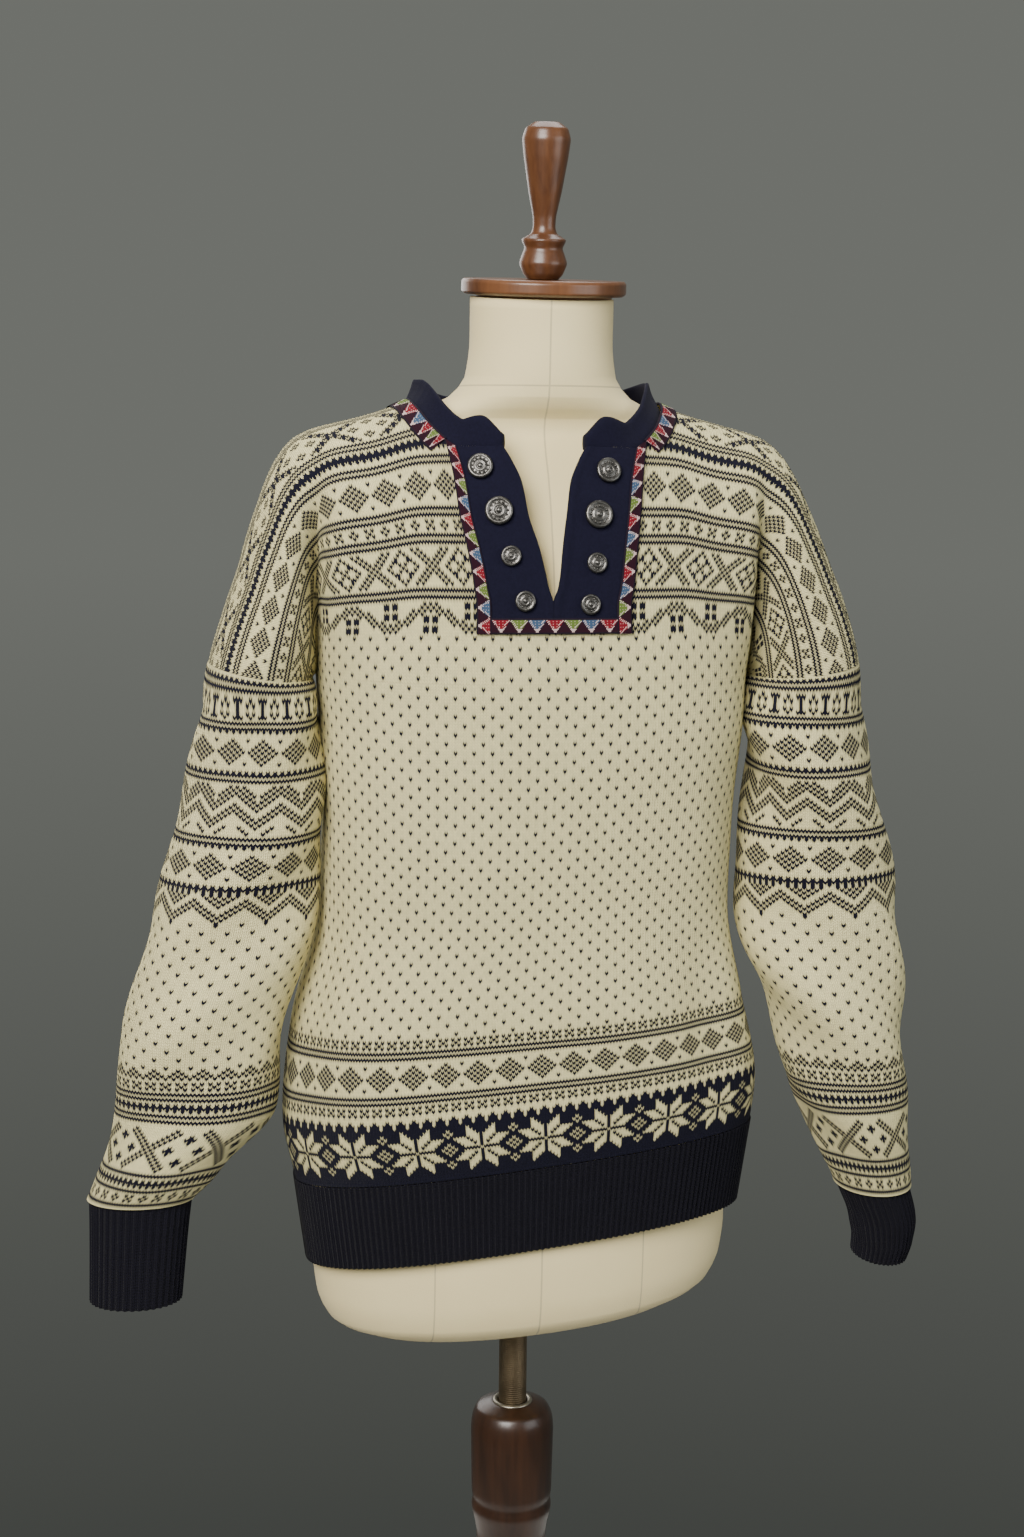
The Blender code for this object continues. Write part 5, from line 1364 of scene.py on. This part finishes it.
def stand_pieces(wood, dark_wood, bronze, ferrule):
    cap = nodded(lathe_grid(CAP_PROFILE, SEAM_GAP, *CAP_GRID), CAP_X)
    foot = CAP_PROFILE[-1].height + 2.0 * SEAM_GAP
    finial = nodded(lathe_grid(FINIAL_PROFILE, foot, *FINIAL_GRID), FINIAL_X)
    pole = lathe_grid(POLE_PROFILE, POLE_FOOT, *POLE_GRID)
    high = pole[..., 2] > FORM_BOTTOM - POLE_RADIUS
    pole[..., 2] += np.where(high, FORM_TILT * pole[..., 0], 0.0)
    column = lathe_grid(COLUMN_PROFILE, BASE_THICK + SEAM_GAP, *COLUMN_GRID)[:-1]
    rim = column[-1]
    bore = rim.copy()
    bore[:, :2] *= BORE_RADIUS / np.hypot(rim[:, 0], rim[:, 1])[:, None]
    column = np.concatenate((column, bore[None], (bore - Z_AXIS * BORE_SHOWN)[None]))
    base = lathe_grid(BASE_PROFILE, 0.0, *BASE_GRID)
    for name, grid, material, slot, body, node in (
            ("cap_disc", cap, wood, "turned_wood", "form", "neck_cap"),
            ("finial_turned", finial, wood, "turned_wood", "form", "finial"),
            ("pole_rod", pole, bronze, "pole_bronze", "form", "pole"),
            ("column_turned", column, dark_wood, "turned_wood", "stand", "column"),
            ("base_turned", base, dark_wood, "turned_wood", "stand", "base")):
        dress(grid_mesh(name, grid, closed=True), material, slot, body, node)
    phi = np.linspace(0.0, TWO_PI, FERRULE_SIDES)
    level = BASE_THICK + COLUMN_PROFILE[-1].height + FERRULE_LIFT + FERRULE_HEIGHT * np.sin(phi)
    ring = circles(FERRULE_RADIUS + FERRULE_WIDTH * np.cos(phi), level, full_turn(POLE_GRID[0]))
    dress(grid_mesh("column_ferrule", ring, closed=True), ferrule, "pole_bronze", "stand")


def form_piece(linen):
    levels = np.unique(np.concatenate((np.linspace(0.0, FORM_LEVELS[-1], FORM_ROWS), np.array(FORM_LEVELS))))
    angle = full_turn(FORM_SIDES)
    rings = []
    for height in levels:
        ring = table_ring(FORM_RINGS, height)
        x, y = oval(ring, angle, FORM_POWER)
        x = x + ring.shift
        z = FORM_BOTTOM + height + FORM_TILT * x * (1.0 - ease(height / FORM_TILT_FADE))
        nod = ease((height - NECK_TILT_FROM) / (FORM_LEVELS[-1] - NECK_TILT_FROM))
        z = z + math.tan(NECK_TILT) * (y - CAP_CENTRE_Y) * nod
        rings.append(np.stack((x, y, z), axis=-1))
    grid = np.array(rings)
    grid = np.concatenate((shrunk(grid[0], 0.02, 0.5, 0.85), grid, shrunk(grid[-1], 0.9, 0.02)))
    dress(grid_mesh("form_cover", grid, closed=True), linen, "form_linen", "form", "form_torso")


def button_pieces(grids, pewter):
    """Cast buttons: a rim, a ring of bosses and a boss in the middle."""
    radius, level = np.array(BUTTON_RADII), np.array(BUTTON_LEVELS)
    shapes = [circles(radius, level, full_turn(BUTTON_SIDES))]
    dome = np.linspace(0.0, math.pi / 2.0, 4)
    boss = circles(BOSS_RADIUS * np.cos(dome), BOSS_RISE * np.sin(dome), full_turn(8))
    for a in full_turn(BOSSES):
        shapes.append(boss + np.array((BOSS_RING * math.cos(a), BOSS_RING * math.sin(a), BOSS_FOOT)))
    for button in BUTTONS:
        grid, normals = grids[(True, 1 if button.x > 0.0 else -1)]
        target = np.array((button.x, FORM_BOTTOM + button.height))
        miss = np.linalg.norm(grid[..., (0, 2)] - target, axis=-1)
        miss = np.where(normals[..., 1] < 0.0, miss, 9.0)
        spot = np.unravel_index(np.argmin(miss), miss.shape)
        n = normals[spot]
        across = unit(np.cross(n, Z_AXIS))
        axes = np.stack((across, np.cross(across, n), n))
        foot = grid[spot] + n * (OVER_KNIT + NAVY_WALL + SEAM_GAP + BUTTON_LIFT)
        parts = [grid_mesh(button.name + "_part", (shape * button.radius) @ axes + foot, closed=True)
                 for shape in shapes]
        with bpy.context.temp_override(active_object=parts[0], object=parts[0], selected_objects=parts,
                                       selected_editable_objects=parts):
            bpy.ops.object.join()
        obj = parts[0]
        obj.name = button.name + "_cast"
        obj.data.name = obj.name
        dress(obj, pewter, "pewter", "form", button.name)


def stage_and_light():
    mesh = bpy.data.meshes.new("floor")
    rim = [(FLOOR_RADIUS * math.cos(a), FLOOR_RADIUS * math.sin(a), FLOOR_Z) for a in full_turn(FLOOR_SIDES)]
    mesh.from_pydata(rim, [], [tuple(range(FLOOR_SIDES))])
    floor = bpy.data.objects.new("floor", mesh)
    bpy.context.scene.collection.objects.link(floor)
    look = Look("floor_pale", 0.8)
    look.colour(FLOOR_COLOUR)
    mesh.materials.append(look.material)
    world = bpy.data.worlds.new("studio")
    world.use_nodes = True
    nodes, links = world.node_tree.nodes, world.node_tree.links
    ramp = nodes.new("ShaderNodeValToRGB")
    set_ramp(ramp, *BACKDROP)
    split = nodes.new("ShaderNodeSeparateXYZ")
    links.new(nodes.new("ShaderNodeTexCoord").outputs["Generated"], split.inputs[0])
    level = nodes.new("ShaderNodeMapRange")
    level.inputs["From Min"].default_value = -1.0
    links.new(split.outputs[2], level.inputs["Value"])
    links.new(level.outputs[0], ramp.inputs[0])
    links.new(ramp.outputs[0], nodes["Background"].inputs["Color"])
    bpy.context.scene.world = world
    for lamp in LAMPS:
        light = bpy.data.lights.new(lamp.name, "AREA")
        light.size = lamp.size
        light.energy = lamp.power
        light.color = lamp.colour
        obj = bpy.data.objects.new(lamp.name, light)
        obj.location = lamp.place
        aim = Vector(LAMP_TARGET) - Vector(lamp.place)
        obj.rotation_euler = aim.to_track_quat("-Z", "Y").to_euler()
        bpy.context.scene.collection.objects.link(obj)


def make_camera():
    data = bpy.data.cameras.new("camera")
    data.sensor_fit = "VERTICAL"
    data.sensor_width = SENSOR
    data.sensor_height = SENSOR
    data.lens = LENS
    camera = bpy.data.objects.new("camera", data)
    bpy.context.scene.collection.objects.link(camera)
    turn = (Matrix.Rotation(math.radians(-CAMERA_HEADING), 4, "Z")
            @ Matrix.Rotation(math.radians(90.0 - CAMERA_PITCH), 4, "X")
            @ Matrix.Rotation(math.radians(CAMERA_ROLL), 4, "Z"))
    camera.matrix_world = Matrix.Translation(CAMERA_PLACE) @ turn
    bpy.context.scene.camera = camera


def main():
    make_camera()
    grids = {(front, side): yoke_grid(front, side) for front in (True, False) for side in (-1, 1)}
    wool = knit_material("cream_wool_knit")
    rib = knit_material("navy_rib_knit", (0.0045, 0.0042, 0.0085))
    cloth = cloth_material("navy_fulled_cloth", (0.0040, 0.0038, 0.0105))
    knit_pieces(wool, grids)
    sleeve_pieces(wool, rib)
    hem_piece(rib)
    trim_pieces(grids, cloth, ribbon_material())
    collar_piece(grids, cloth)
    form_piece(linen_material())
    wood = wood_material("turned_wood_brown", (0.070, 0.025, 0.009), (0.175, 0.070, 0.026))
    dark_wood = wood_material("turned_wood_dark", (0.013, 0.0050, 0.0022), (0.045, 0.017, 0.0065))
    bronze = metal_material("aged_bronze", (0.10, 0.070, 0.040), (0.30, 0.23, 0.14), 0.42, 60.0, ringed=True)
    ferrule = metal_material("pale_ferrule", (0.22, 0.20, 0.16), (0.42, 0.39, 0.32), 0.38, 90.0)
    stand_pieces(wood, dark_wood, bronze, ferrule)
    pewter = metal_material("antique_pewter", (0.020, 0.020, 0.018), (0.21, 0.20, 0.185), 0.36, 420.0)
    button_pieces(grids, pewter)
    stage_and_light()


main()
